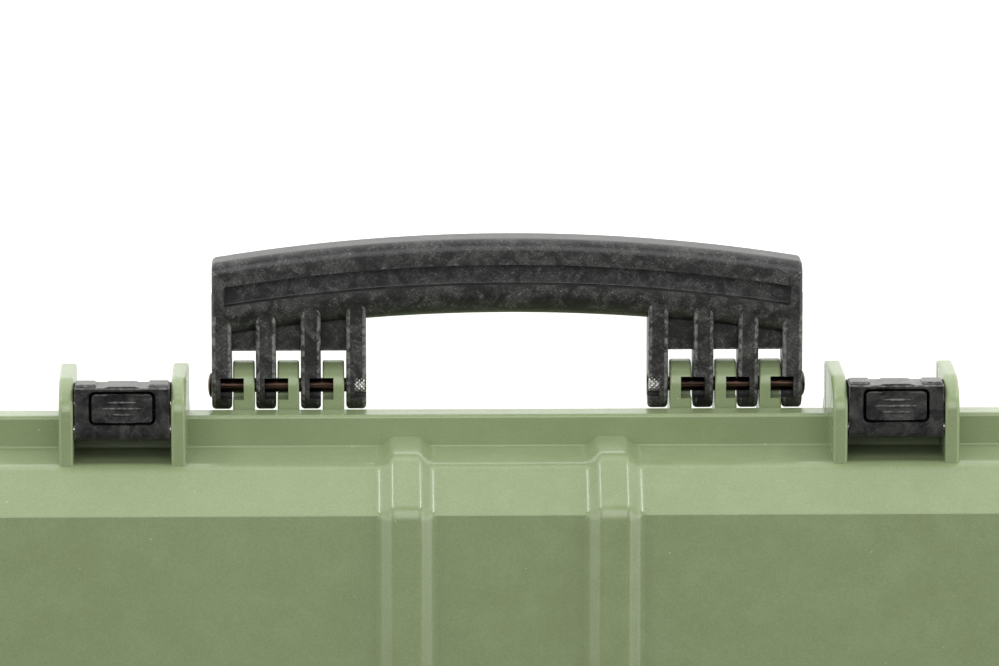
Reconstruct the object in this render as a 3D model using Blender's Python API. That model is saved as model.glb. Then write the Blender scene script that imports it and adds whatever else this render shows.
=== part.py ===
"""Long hard gun case: moulded base and lid, bail handle, press-and-pull latches, hinges, gasket and foam.

The case lies flat with its lid up. The origin is the centre of the base's bottom face, +X runs along the
length, -Y is the front with the handle and latches, and +Z is up. Dimensions below are in millimetres.
"""

import math

import bmesh
import bpy
import numpy as np

MM = 0.001
CORNER_STEPS = 6
ROUND_STEPS = 20

# Shell outline: half length, half width and corner radius are given at the flange's outer edge.
HALF_X = 600.0
HALF_Y = 210.0
FLANGE_OUT = 11.0
FLANGE_CORNER_R = 54.0
PART_Z = 125.0
PART_GAP = 0.2
WALL = 4.0

# Lid section, measured up from the parting plane.
LID_FLANGE_T = 12.0
LID_WALL_H = 30.0
LID_WALL_DRAFT = 1.2
LID_CHAMFER = 18.0

# Base section.
BASE_FLANGE_T = 10.0
BASE_RECESS = 1.9
BASE_WALL_DRAFT = 7.5
BASE_FOOT_CHAMFER = 24.0

# Raised ribs across lid and base walls.
RIB_X = (39.7, 250.0, 340.0, 530.0)
RIB_FOOT_W = 20.5
RIB_TOP_W = 10.6
RIB_H = 4.2
RIB_EMBED = 1.6
BASE_RIB_LOW_Z = 44.0
BASE_RIB_SINK = (1.8, 0.6)

# Gasket in the lid's rim.
GROOVE_IN = 6.0
GROOVE_W = 4.0
GROOVE_H = 5.0
GASKET_CLEAR = 0.4

# Foam pads.
FOAM_CLEAR = 1.5
BASE_FOAM_TOP = 64.0
LID_FOAM_BOTTOM = 146.0

# Handle, its legs and the ears on the base.
HANDLE_PIN_Y = -217.6
HANDLE_PIN_Z = 114.0
HANDLE_PIN_R = 2.75
HANDLE_BORE_R = 2.83
EAR_BORE_R = 3.0
PIN_HEAD_R = 4.8
PIN_HEAD_T = 1.5
LEG_R = 9.3
LEG_HALF_T = 10.2
EAR_R = 9.7
LEG_SPANS = ((54.5, 62.6), (72.2, 80.1), (89.7, 97.4), (106.9, 114.4))
EAR_SPANS = ((63.2, 71.6), (80.7, 89.1), (98.0, 106.3))
HANDLE_HALF_X = 114.4
GRIP_HALF_T = 10.5
WEB_HALF_T = 3.5
GRIP_TOP_MID = 276.1
GRIP_TOP_END = 266.8
GRIP_TALL = 29.8
GROOVE_BAND = 9.8
GROOVE_TALL = 7.9
GROOVE_DEPTH = 3.5
GROOVE_HALF_X = 109.7
GRIP_STEPS = 16
WEB_BOTTOM = 231.5
LEG_TOP = 254.0
WINDOW_HALF_H = 4.2
LEG_WINDOW = 0.57

# Latches: lugs on lid and base, lever, push button, spring and pivot pin.
LATCH_X = (-442.5, -148.2, 148.2, 442.5)
LUG_GAP = 37.4
LUG_T = 5.6
LUG_DRAFT = 1.3
LUG_OUT = 227.7
LUG_FACE_OUT = 216.0
LUG_CREST_Z = 151.0
BASE_LUG_OUT = 227.0
LATCH_PIN_Y = -209.0
LATCH_PIN_Z = 161.0
LATCH_PIN_R = 1.5
LATCH_BORE_R = 1.56
LUG_BORE_R = 1.55
LEVER_W = 36.3
LEVER_TOP_Z = 165.0
LEVER_OUT = 225.8
LEVER_BARREL_R = 3.9
BLOCK_BOTTOM_Z = 147.0
PLATE_T = 4.6
LEVER_BEND_Z = 151.0
LEVER_BELLY = (220.6, 125.0)
LEVER_TIP = (215.0, 92.0)
POCKET_W = 25.6
POCKET_TALL = 12.9
POCKET_FLOOR_Z = 151.0
BUTTON_Y = -217.8
BUTTON_W = 23.3
BUTTON_TALL = 11.2
BUTTON_TOP_Z = 165.0
BUTTON_BOTTOM_Z = 158.0
BAR_H = 0.7
BLOCK_H = 1.5
BLOCK_Z = (152.2, 162.6)
CROWN_H = 0.6
SPRING_R = 3.2
SPRING_WIRE_R = 0.4
SPRING_TURNS = 4
KEEPER_Z = (104.0, 111.0)
KEEPER_OUT = 208.4
NOSE_Z = (101.5, 103.5)
NOSE_GAP = 0.6

# Hinges at the back.
HINGE_X = (-400.0, 0.0, 400.0)
HINGE_Y = 217.5
HINGE_Z = 125.0
HINGE_BARREL_R = 6.5
HINGE_PIN_R = 2.5
HINGE_BORE_R = 2.58
LID_KNUCKLE_HALF = 17.0
BASE_KNUCKLE_W = 16.0
KNUCKLE_GAP = 0.4

# Padlock tabs and pressure valve.
TAB_X = (-295.0, 295.0)
TAB_W = 26.0
TAB_OUT = 227.0
TAB_HOLE_Y = -217.0
TAB_HOLE_R = 4.5
VALVE_X = 386.0
VALVE_Z = 62.0
VALVE_BOSS_R = 17.0
VALVE_BOSS_OUT = 199.0
VALVE_STEM_R = 8.0
VALVE_STEM_CLEAR = 0.1
VALVE_FLANGE_R = 14.0
VALVE_FLANGE_T = 3.0
VALVE_CAP_R = 9.5
VALVE_CAP_T = 2.5
VALVE_IN = 190.5
VALVE_GAP = 0.3

MATERIALS = {
    "olive_shell": ((0.20, 0.26, 0.13), 0.55, 0.0),
    "black_nylon": ((0.018, 0.018, 0.02), 0.5, 0.0),
    "steel": ((0.6, 0.6, 0.6), 0.3, 1.0),
    "dark_steel": ((0.05, 0.045, 0.04), 0.45, 1.0),
    "gasket_rubber": ((0.02, 0.02, 0.02), 0.8, 0.0),
    "foam": ((0.04, 0.04, 0.045), 0.95, 0.0),
}


def clear_scene():
    for obj in list(bpy.data.objects):
        bpy.data.objects.remove(obj, do_unlink=True)
    for mesh in list(bpy.data.meshes):
        bpy.data.meshes.remove(mesh)


def make_material(name, kind):
    colour, roughness, metallic = MATERIALS[kind]
    material = bpy.data.materials.new(name + "_" + kind)
    material.use_nodes = True
    shader = material.node_tree.nodes["Principled BSDF"]
    shader.inputs["Base Color"].default_value = (*colour, 1.0)
    shader.inputs["Roughness"].default_value = roughness
    shader.inputs["Metallic"].default_value = metallic
    material.diffuse_color = (*colour, 1.0)
    return material


def mesh_object(name, verts, faces, kind="olive_shell", pivot=(0.0, 0.0, 0.0)):
    """Makes one object from millimetre points, with its origin at pivot."""
    mesh = bpy.data.meshes.new(name)
    origin = np.array(pivot)
    mesh.from_pydata([tuple((np.array(v) - origin) * MM) for v in verts], [], faces)
    work = bmesh.new()
    work.from_mesh(mesh)
    bmesh.ops.recalc_face_normals(work, faces=work.faces)
    work.to_mesh(mesh)
    work.free()
    obj = bpy.data.objects.new(name, mesh)
    obj.location = tuple(origin * MM)
    bpy.context.scene.collection.objects.link(obj)
    obj.data.materials.append(make_material(name, kind))
    return obj


def boolean(target, tool, operation):
    """Applies one exact Boolean to target and removes the tool."""
    bpy.context.view_layer.update()
    modifier = target.modifiers.new("cut", "BOOLEAN")
    modifier.object = tool
    modifier.operation = operation
    modifier.solver = "EXACT"
    bpy.context.view_layer.update()
    depsgraph = bpy.context.evaluated_depsgraph_get()
    result = bpy.data.meshes.new_from_object(target.evaluated_get(depsgraph))
    target.modifiers.clear()
    old = target.data
    name = old.name
    material = old.materials[0]
    target.data = result
    bpy.data.meshes.remove(old)
    result.name = name
    result.materials.clear()
    result.materials.append(material)
    work = bmesh.new()
    work.from_mesh(result)
    bmesh.ops.remove_doubles(work, verts=work.verts, dist=2e-6)
    bmesh.ops.dissolve_degenerate(work, edges=work.edges, dist=2e-6)
    for face in work.faces:
        face.material_index = 0
    work.to_mesh(result)
    work.free()
    tool_mesh = tool.data
    bpy.data.objects.remove(tool, do_unlink=True)
    bpy.data.meshes.remove(tool_mesh)


def join_lists(pieces):
    """Joins several (verts, faces) pairs that don't touch into one pair."""
    verts = []
    faces = []
    for piece_verts, piece_faces in pieces:
        start = len(verts)
        verts += list(piece_verts)
        faces += [tuple(i + start for i in face) for face in piece_faces]
    return verts, faces


def add(target, pieces):
    verts, faces = join_lists(pieces)
    boolean(target, mesh_object("tool", verts, faces), "UNION")


def cut(target, pieces):
    verts, faces = join_lists(pieces)
    boolean(target, mesh_object("tool", verts, faces), "DIFFERENCE")


def rounded_ring(half_x, half_y, radius, z):
    points = []
    centres = ((1, 1, 0.0), (-1, 1, 0.5), (-1, -1, 1.0), (1, -1, 1.5))
    for sx, sy, start in centres:
        for step in range(CORNER_STEPS + 1):
            angle = math.pi * (start + 0.5 * step / CORNER_STEPS)
            x = sx * (half_x - radius) + radius * math.cos(angle)
            y = sy * (half_y - radius) + radius * math.sin(angle)
            points.append((x, y, z))
    return points


def loft(rings, closed=False):
    """Lofts rings of equal length, with end caps unless the profile is closed."""
    count = len(rings[0])
    verts = [p for ring in rings for p in ring]
    faces = []
    spans = len(rings) if closed else len(rings) - 1
    for i in range(spans):
        a = i * count
        b = ((i + 1) % len(rings)) * count
        for j in range(count):
            k = (j + 1) % count
            faces.append((a + j, a + k, b + k, b + j))
    if not closed:
        faces.append(tuple(reversed(range(count))))
        last = (len(rings) - 1) * count
        faces.append(tuple(range(last, last + count)))
    return verts, faces


def prism_x(profile, x0, x1):
    """Extrudes a (y, z) profile along X."""
    return loft([[(x0, y, z) for y, z in profile], [(x1, y, z) for y, z in profile]])


def prism_z(profile, z0, z1):
    """Extrudes an (x, y) profile along Z."""
    return loft([[(x, y, z0) for x, y in profile], [(x, y, z1) for x, y in profile]])


def box(lo, hi):
    profile = [(lo[0], lo[1]), (hi[0], lo[1]), (hi[0], hi[1]), (lo[0], hi[1])]
    return prism_z(profile, lo[2], hi[2])


def circle(radius, steps=ROUND_STEPS, start=0.0):
    angles = [start + 2.0 * math.pi * i / steps for i in range(steps)]
    return [(radius * math.cos(a), radius * math.sin(a)) for a in angles]


def rod_x(radius, x0, x1, y, z, steps=ROUND_STEPS):
    return prism_x([(y + a, z + b) for a, b in circle(radius, steps)], x0, x1)


def rod_z(radius, x, y, z0, z1, steps=ROUND_STEPS):
    return prism_z([(x + a, y + b) for a, b in circle(radius, steps)], z0, z1)


def turned_y(profile, x, z, steps=ROUND_STEPS):
    """Turns (radius, y) steps about an axis along Y."""
    rings = []
    for radius, y in profile:
        rings.append([(x + a, y, z + b) for a, b in circle(radius, steps)])
    return loft(rings)


def arc(y, z, radius, start_deg, end_deg, steps):
    points = []
    for i in range(steps + 1):
        angle = math.radians(start_deg + (end_deg - start_deg) * i / steps)
        points.append((y + radius * math.cos(angle), z + radius * math.sin(angle)))
    return points


def flange_ring(inset, z):
    return rounded_ring(HALF_X - inset, HALF_Y - inset, FLANGE_CORNER_R - inset, z)


def lid_rings():
    rim = PART_Z + PART_GAP
    face = PART_Z + LID_FLANGE_T
    wall_top = face + LID_WALL_H
    top = wall_top + LID_CHAMFER
    wall = FLANGE_OUT
    upper = wall + LID_WALL_DRAFT
    groove = GROOVE_IN + GROOVE_W
    inner = wall + WALL
    return [
        flange_ring(upper + LID_CHAMFER, top),
        flange_ring(upper, wall_top),
        flange_ring(wall, face),
        flange_ring(0.0, face),
        flange_ring(0.0, rim),
        flange_ring(GROOVE_IN, rim),
        flange_ring(GROOVE_IN, rim + GROOVE_H),
        flange_ring(groove, rim + GROOVE_H),
        flange_ring(groove, rim),
        flange_ring(inner, rim),
        flange_ring(inner + LID_WALL_DRAFT, wall_top - 2.0),
        flange_ring(upper + LID_CHAMFER + 2.2, top - WALL),
    ]


def base_rings():
    rim = PART_Z - PART_GAP
    under = rim + PART_GAP - BASE_FLANGE_T
    wall = FLANGE_OUT + 1.0
    foot = wall + BASE_WALL_DRAFT
    inner = FLANGE_OUT + WALL
    return [
        flange_ring(foot + BASE_FOOT_CHAMFER, 0.0),
        flange_ring(foot, BASE_FOOT_CHAMFER),
        flange_ring(wall, under),
        flange_ring(BASE_RECESS, under),
        flange_ring(BASE_RECESS, rim),
        flange_ring(inner, rim),
        flange_ring(foot + WALL, BASE_FOOT_CHAMFER + 2.0),
        flange_ring(foot + BASE_FOOT_CHAMFER + 2.2, WALL),
    ]


def rib_piece(x, stations):
    """Sweeps the rib's section along (y, z, normal y, normal z) stations."""
    rings = []
    for y, z, ny, nz in stations:
        low_y = y - ny * RIB_EMBED
        low_z = z - nz * RIB_EMBED
        high_y = y + ny * RIB_H
        high_z = z + nz * RIB_H
        spread = RIB_EMBED * (RIB_FOOT_W - RIB_TOP_W) / (2.0 * RIB_H)
        foot = RIB_FOOT_W / 2.0 + spread
        top = RIB_TOP_W / 2.0
        rings.append(
            [
                (x - foot, low_y, low_z),
                (x - top, high_y, high_z),
                (x + top, high_y, high_z),
                (x + foot, low_y, low_z),
            ]
        )
    return loft(rings)


def lid_rib(x):
    face = PART_Z + LID_FLANGE_T
    wall_top = face + LID_WALL_H
    top = wall_top + LID_CHAMFER
    y_wall = HALF_Y - FLANGE_OUT
    y_upper = y_wall - LID_WALL_DRAFT
    y_top = y_upper - LID_CHAMFER
    miter = math.tan(math.radians(22.5))
    stations = []
    for side in (-1, 1):
        line = [
            (side * y_wall, face - 1.0, side, 0.0),
            (side * y_upper, wall_top, side, miter),
            (side * y_top, top, side * miter, 1.0),
        ]
        stations += line if side < 0 else line[::-1]
    return rib_piece(x, stations)


def base_rib(x, side):
    """A rib that sinks into the base's wall as it runs down and ends above the foot."""
    under = PART_Z - BASE_FLANGE_T
    y_wall = HALF_Y - FLANGE_OUT - 1.0
    y_low = y_wall - BASE_WALL_DRAFT * (under - BASE_RIB_LOW_Z) / (under - BASE_FOOT_CHAMFER)
    stations = [
        (side * (y_low - BASE_RIB_SINK[0]), BASE_RIB_LOW_Z, side, 0.0),
        (side * (y_wall - BASE_RIB_SINK[1]), under + 1.0, side, 0.0),
    ]
    return rib_piece(x, stations)


def mirrored_x(values):
    return [-v for v in values] + list(values)


def lug_plate(x, side, profile):
    """A plate beside a latch: flat towards the lever, thicker towards the parting plane on its outer face."""
    near = LUG_GAP / 2.0
    far = near + LUG_T
    slope = LUG_DRAFT / (LID_FLANGE_T + LID_WALL_H)
    thin_z = PART_Z + LID_FLANGE_T + LID_WALL_H
    inner = [(x + side * near, y, z) for y, z in profile]
    outer = [(x + side * (far + slope * (thin_z - z)), y, z) for y, z in profile]
    return loft([inner, outer])


def lid_lug(x, side):
    """The lid's plate: a flat face that falls back in a long curve to a crease."""
    rim = PART_Z + PART_GAP
    wall_top = PART_Z + LID_FLANGE_T + LID_WALL_H
    inside = -(HALF_Y - FLANGE_OUT - LID_WALL_DRAFT - 1.5)
    outside = -(HALF_Y - GROOVE_IN + 1.0)
    clear = rim + GROOVE_H + 1.5
    end = math.radians(70.0)
    curve = []
    for i in range(7):
        t = end * i / 6
        y = LUG_FACE_OUT + (LUG_OUT - LUG_FACE_OUT) * math.sin(t) / math.sin(end)
        z = wall_top - (wall_top - LUG_CREST_Z) * (1.0 - math.cos(t)) / (1.0 - math.cos(end))
        curve.append((-y, z))
    profile = [
        (outside, rim),
        (-LUG_OUT, rim),
        *reversed(curve),
        (inside, wall_top - 0.4),
        (inside, clear + 2.0),
        (outside, clear),
    ]
    return lug_plate(x, side, profile)


def base_lug(x, side):
    """The matching plate on the base's flange, with a gusset under it."""
    rim = PART_Z - PART_GAP
    low = PART_Z - BASE_FLANGE_T
    inside = -(HALF_Y - FLANGE_OUT - 5.0)
    profile = [
        (inside, rim),
        (-BASE_LUG_OUT, rim),
        (-BASE_LUG_OUT, low + 1.5),
        (-BASE_LUG_OUT + 1.5, low),
        (-214.0, low),
        (inside, low - 22.0),
    ]
    return lug_plate(x, side, profile)


def lugs(make):
    return [make(x, side) for x in LATCH_X for side in (-1, 1)]


def keeper(x):
    inside = -(HALF_Y - FLANGE_OUT - 4.0)
    half = LUG_GAP / 2.0 + 1.0
    return box((x - half, -KEEPER_OUT, KEEPER_Z[0]), (x + half, inside, KEEPER_Z[1]))


def tab(x, z0, z1):
    half = TAB_W / 2.0
    inside = -(HALF_Y - 3.0)
    slope = 6.0
    profile = [
        (x - half - slope, inside),
        (x + half + slope, inside),
        (x + half, -TAB_OUT + 4.0),
        (x + half - 4.0, -TAB_OUT),
        (x - half + 4.0, -TAB_OUT),
        (x - half, -TAB_OUT + 4.0),
    ]
    return prism_z(profile, z0, z1)


def knuckle(x0, x1, above):
    """A hinge knuckle with the arm that joins it to a flange above or below the parting plane."""
    sign = 1.0 if above else -1.0
    inside = HALF_Y - 4.0
    inner_z = PART_Z + sign * PART_GAP
    arm_z = PART_Z + sign * (LID_FLANGE_T if above else BASE_FLANGE_T)
    steps = ROUND_STEPS // 2
    end = 60.0 * sign
    barrel = arc(HINGE_Y, HINGE_Z, HINGE_BARREL_R, -150.0 * sign, end, steps)
    profile = [(inside, inner_z), (HINGE_Y - HINGE_BARREL_R * 0.97, inner_z), *barrel[1:], (inside, arm_z)]
    return prism_x(profile, x0, x1)


def base_knuckles(x):
    near = LID_KNUCKLE_HALF + KNUCKLE_GAP
    far = near + BASE_KNUCKLE_W
    return [knuckle(x - far, x - near, False), knuckle(x + near, x + far, False)]


def ear(x0, x1):
    """A round-ended ear on the base that carries the handle's pin."""
    inside = -(HALF_Y - FLANGE_OUT - 4.0)
    nose = arc(HANDLE_PIN_Y, HANDLE_PIN_Z, EAR_R, 90.0, 270.0, ROUND_STEPS // 2)
    low = HANDLE_PIN_Z - EAR_R - 14.0
    profile = [(inside, HANDLE_PIN_Z + EAR_R), *nose, (inside, low)]
    return prism_x(profile, x0, x1)


def sided(span, side):
    a, b = span
    return (a, b) if side > 0 else (-b, -a)


def ear_window(span, side):
    """Opens the ear's front over the pin, on the half away from the case's centre."""
    low, high = sided(((span[0] + span[1]) / 2.0, span[1] + 0.2), side)
    y = HANDLE_PIN_Y
    return box((low, y - WINDOW_HALF_H, HANDLE_PIN_Z), (high, y + WINDOW_HALF_H, HANDLE_PIN_Z + 15.0))


def leg_window(span, side):
    """Opens the leg's front over the pin, on the half toward the case's centre."""
    low, high = sided((span[0] - 0.2, span[0] + LEG_WINDOW * (span[1] - span[0])), side)
    y = HANDLE_PIN_Y
    return box((low, y - WINDOW_HALF_H, HANDLE_PIN_Z), (high, y + WINDOW_HALF_H, HANDLE_PIN_Z + 15.0))


def build_lid_shell():
    obj = mesh_object("lid_shell", *loft(lid_rings()), "olive_shell", (0.0, HINGE_Y, HINGE_Z))
    add(obj, [lid_rib(x) for x in mirrored_x(RIB_X)])
    add(obj, lugs(lid_lug))
    add(obj, [tab(x, PART_Z + PART_GAP, PART_Z + LID_FLANGE_T - 0.5) for x in TAB_X])
    add(obj, [knuckle(x - LID_KNUCKLE_HALF, x + LID_KNUCKLE_HALF, True) for x in HINGE_X])
    holes = []
    for x in LATCH_X:
        reach = LUG_GAP / 2.0 + LUG_T + 1.0
        holes.append(rod_x(LUG_BORE_R, x - reach, x + reach, LATCH_PIN_Y, LATCH_PIN_Z, 12))
    for x in TAB_X:
        holes.append(rod_z(TAB_HOLE_R, x, TAB_HOLE_Y, PART_Z - 5.0, PART_Z + 20.0))
    for x in HINGE_X:
        reach = LID_KNUCKLE_HALF + 1.0
        holes.append(rod_x(HINGE_BORE_R, x - reach, x + reach, HINGE_Y, HINGE_Z))
    cut(obj, holes)
    return obj


def build_base_shell():
    obj = mesh_object("base_shell", *loft(base_rings()), "olive_shell")
    ribs = [base_rib(x, side) for x in mirrored_x(RIB_X) for side in (-1, 1)]
    boss = turned_y([(VALVE_BOSS_R, -(VALVE_BOSS_OUT)), (VALVE_BOSS_R, -191.0)], VALVE_X, VALVE_Z)
    add(obj, ribs + [boss])
    add(obj, lugs(base_lug))
    add(obj, [keeper(x) for x in LATCH_X])
    add(obj, [tab(x, PART_Z - BASE_FLANGE_T + 0.5, PART_Z - PART_GAP) for x in TAB_X])
    add(obj, [piece for x in HINGE_X for piece in base_knuckles(x)])
    add(obj, [ear(*sided(span, side)) for span in EAR_SPANS for side in (-1, 1)])
    holes = []
    for side in (-1, 1):
        low, high = sided((EAR_SPANS[0][0] - 0.5, EAR_SPANS[-1][1] + 0.5), side)
        holes.append(rod_x(EAR_BORE_R, low, high, HANDLE_PIN_Y, HANDLE_PIN_Z))
    for x in TAB_X:
        holes.append(rod_z(TAB_HOLE_R, x, TAB_HOLE_Y, PART_Z - 20.0, PART_Z + 5.0))
    for x in HINGE_X:
        reach = LID_KNUCKLE_HALF + BASE_KNUCKLE_W + 2.0
        holes.append(rod_x(HINGE_BORE_R, x - reach, x + reach, HINGE_Y, HINGE_Z))
    stem = VALVE_STEM_R + VALVE_STEM_CLEAR
    holes.append(turned_y([(stem, -210.0), (stem, -180.0)], VALVE_X, VALVE_Z))
    cut(obj, holes)
    cut(obj, [ear_window(span, side) for span in EAR_SPANS for side in (-1, 1)])
    return obj


def build_gasket():
    rim = PART_Z
    top = PART_Z + PART_GAP + GROOVE_H - GASKET_CLEAR
    outer = GROOVE_IN + GASKET_CLEAR
    inner = GROOVE_IN + GROOVE_W - GASKET_CLEAR
    corners = ((outer, rim), (outer, top), (inner, top), (inner, rim))
    rings = [flange_ring(inset, z) for inset, z in corners]
    mesh_object("gasket", *loft(rings, closed=True), "gasket_rubber")


def build_foam():
    foot = FLANGE_OUT + 1.0 + BASE_WALL_DRAFT
    deep = foot + BASE_FOOT_CHAMFER + 2.2 + FOAM_CLEAR
    side = foot + WALL + FOAM_CLEAR
    bend = BASE_FOOT_CHAMFER + 2.0
    lean = (BASE_WALL_DRAFT + 1.0) * (BASE_FOAM_TOP - bend) / (PART_Z - bend)
    base = [
        flange_ring(deep, WALL + 0.4),
        flange_ring(side, bend + 0.6),
        flange_ring(side - lean, BASE_FOAM_TOP),
    ]
    mesh_object("base_foam", *loft(base), "foam")
    upper = FLANGE_OUT + LID_WALL_DRAFT
    top = PART_Z + LID_FLANGE_T + LID_WALL_H + LID_CHAMFER - WALL
    wall_top = PART_Z + LID_FLANGE_T + LID_WALL_H - 2.0
    lid = [
        flange_ring(upper + WALL + FOAM_CLEAR, LID_FOAM_BOTTOM),
        flange_ring(upper + WALL + FOAM_CLEAR + 0.4, wall_top - 1.0),
        flange_ring(upper + LID_CHAMFER + 2.2 + FOAM_CLEAR, top - 0.4),
    ]
    mesh_object("lid_foam", *loft(lid), "foam")


def grip_line(x, drop):
    """Distance from the case's centre to a line drop below the grip's arched top."""
    fall = (GRIP_TOP_MID - GRIP_TOP_END) * (x / HANDLE_HALF_X) ** 2
    return GRIP_TOP_MID - fall - drop


def grip_band(half_x, drop_top, drop_bottom, z0, z1):
    xs = [half_x * (2.0 * i / GRIP_STEPS - 1.0) for i in range(GRIP_STEPS + 1)]
    upper = [(x, -grip_line(x, drop_top)) for x in xs]
    lower = [(x, -grip_line(x, drop_bottom)) for x in reversed(xs)]
    return prism_z(upper + lower, z0, z1)


def handle_leg(span, side):
    """A leg with its round end about the pin, standing forward of the web."""
    end = arc(HANDLE_PIN_Y, HANDLE_PIN_Z, LEG_R, -90.0, 90.0, ROUND_STEPS // 2)
    profile = [(-LEG_TOP, HANDLE_PIN_Z - LEG_HALF_T), *end, (-LEG_TOP, HANDLE_PIN_Z + LEG_HALF_T)]
    return prism_x(profile, *sided(span, side))


def build_handle():
    z_low = HANDLE_PIN_Z - GRIP_HALF_T
    z_high = HANDLE_PIN_Z + GRIP_HALF_T
    pivot = (0.0, HANDLE_PIN_Y, HANDLE_PIN_Z)
    grip = grip_band(HANDLE_HALF_X, 0.0, GRIP_TALL, z_low, z_high)
    obj = mesh_object("handle_bail", *grip, "black_nylon", pivot)
    webs = []
    for side in (-1, 1):
        low, high = sided((LEG_SPANS[0][0] + 0.6, LEG_SPANS[-1][1] - 0.6), side)
        z = HANDLE_PIN_Z
        webs.append(box((low, -LEG_TOP, z - WEB_HALF_T), (high, -WEB_BOTTOM, z + WEB_HALF_T)))
    add(obj, webs)
    add(obj, [handle_leg(span, side) for span in LEG_SPANS for side in (-1, 1)])
    grooves = []
    for z0, z1 in ((z_high - GROOVE_DEPTH, z_high + 2.0), (z_low - 2.0, z_low + GROOVE_DEPTH)):
        grooves.append(grip_band(GROOVE_HALF_X, GROOVE_BAND, GROOVE_BAND + GROOVE_TALL, z0, z1))
    cut(obj, grooves)
    bores = []
    for side in (-1, 1):
        low, high = sided((LEG_SPANS[0][0] - 1.0, LEG_SPANS[-1][1] + 1.0), side)
        bores.append(rod_x(HANDLE_BORE_R, low, high, HANDLE_PIN_Y, HANDLE_PIN_Z))
    cut(obj, bores)
    cut(obj, [leg_window(span, side) for span in LEG_SPANS for side in (-1, 1)])


def build_handle_pins():
    for side, name in ((-1, "handle_pin_1"), (1, "handle_pin_2")):
        start = LEG_SPANS[0][0] + 0.8
        face = LEG_SPANS[-1][1] + 0.3
        stations = [
            (start, HANDLE_PIN_R - 0.4),
            (start + 0.5, HANDLE_PIN_R),
            (face, HANDLE_PIN_R),
            (face, PIN_HEAD_R),
            (face + PIN_HEAD_T * 0.5, PIN_HEAD_R * 0.86),
            (face + PIN_HEAD_T, PIN_HEAD_R * 0.5),
        ]
        rings = []
        for x, radius in stations:
            rings.append([(side * x, HANDLE_PIN_Y + a, HANDLE_PIN_Z + b) for a, b in circle(radius)])
        mesh_object(name, *loft(rings), "dark_steel", (0.0, HANDLE_PIN_Y, HANDLE_PIN_Z))


def lever_profile():
    """The lever's side view: pivot barrel, front face, outer face, tip, nose and inner faces."""
    barrel = arc(LATCH_PIN_Y, LATCH_PIN_Z, LEVER_BARREL_R, -90.0, 90.0, 8)
    slope = (LEVER_BELLY[0] - LEVER_TIP[0]) / (LEVER_BELLY[1] - LEVER_TIP[1])

    def inner(z):
        return -(LEVER_TIP[0] + slope * (z - LEVER_TIP[1]) - PLATE_T)

    nose = -(KEEPER_OUT + NOSE_GAP)
    root = -(LEVER_OUT - PLATE_T - 1.6)
    profile = [
        *barrel,
        (-(LEVER_OUT - 0.6), LEVER_TOP_Z),
        (-LEVER_OUT, LEVER_TOP_Z - 0.6),
        (-LEVER_OUT, LEVER_BEND_Z),
        (-LEVER_BELLY[0], LEVER_BELLY[1]),
        (-LEVER_TIP[0], LEVER_TIP[1]),
        (inner(LEVER_TIP[1]), LEVER_TIP[1]),
        (inner(NOSE_Z[0]), NOSE_Z[0]),
        (nose, NOSE_Z[0]),
        (nose, NOSE_Z[1]),
        (inner(NOSE_Z[1] + 2.0), NOSE_Z[1] + 2.0),
        (inner(LEVER_BELLY[1]), LEVER_BELLY[1]),
        (root, BLOCK_BOTTOM_Z - 3.0),
        (root + 0.4, BLOCK_BOTTOM_Z),
        (LATCH_PIN_Y - 1.0, BLOCK_BOTTOM_Z),
    ]
    return profile


def build_latch(index, x):
    pivot = (x, LATCH_PIN_Y, LATCH_PIN_Z)
    half = LEVER_W / 2.0
    side_view = prism_x(lever_profile(), x - half, x + half)
    lever = mesh_object(f"latch_lever_{index}", *side_view, "black_nylon", pivot)
    pocket = box(
        (x - POCKET_W / 2.0, BUTTON_Y - POCKET_TALL / 2.0, POCKET_FLOOR_Z),
        (x + POCKET_W / 2.0, BUTTON_Y + POCKET_TALL / 2.0, LEVER_TOP_Z + 5.0),
    )
    bore = rod_x(LATCH_BORE_R, x - half - 1.0, x + half + 1.0, LATCH_PIN_Y, LATCH_PIN_Z, 12)
    cut(lever, [pocket, bore])
    bars = []
    for a, b, rise, top in (
        (-17.9, -10.0, BLOCK_H, BLOCK_Z[1]),
        (10.0, 17.9, BLOCK_H, BLOCK_Z[1]),
        (-6.0, 6.0, CROWN_H, LEVER_TOP_Z - 0.7),
    ):
        low = (x + a, -LEVER_OUT - rise, BLOCK_Z[0])
        bars.append(box(low, (x + b, -LEVER_OUT + 0.5, top)))
    add(lever, bars)
    build_button(index, x)
    build_spring(index, x)
    reach = LUG_GAP / 2.0 + LUG_T - 0.4
    pin = rod_x(LATCH_PIN_R, x - reach, x + reach, LATCH_PIN_Y, LATCH_PIN_Z, 12)
    mesh_object(f"latch_pin_{index}", *pin, "steel", pivot)


def build_button(index, x):
    half = BUTTON_W / 2.0
    tall = BUTTON_TALL / 2.0
    corner = 1.5
    profile = []
    for sx, sy, start in ((1, 1, 0.0), (-1, 1, 90.0), (-1, -1, 180.0), (1, -1, 270.0)):
        centre = (x + sx * (half - corner), BUTTON_Y + sy * (tall - corner))
        profile += arc(*centre, corner, start, start + 90.0, 3)
    pivot = (x, BUTTON_Y, BUTTON_BOTTOM_Z)
    top = BUTTON_TOP_Z
    obj = mesh_object(f"latch_button_{index}", *prism_z(profile, BUTTON_BOTTOM_Z, top), "black_nylon", pivot)
    bars = []
    for offset, width in ((2.3, 9.9), (0.0, 14.8), (-2.3, 9.9)):
        low = (x - width / 2.0, BUTTON_Y + offset - 0.5, top - 0.6)
        high = (x + width / 2.0, BUTTON_Y + offset + 0.5, top + BAR_H)
        bars.append(box(low, high))
    add(obj, bars)


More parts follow.
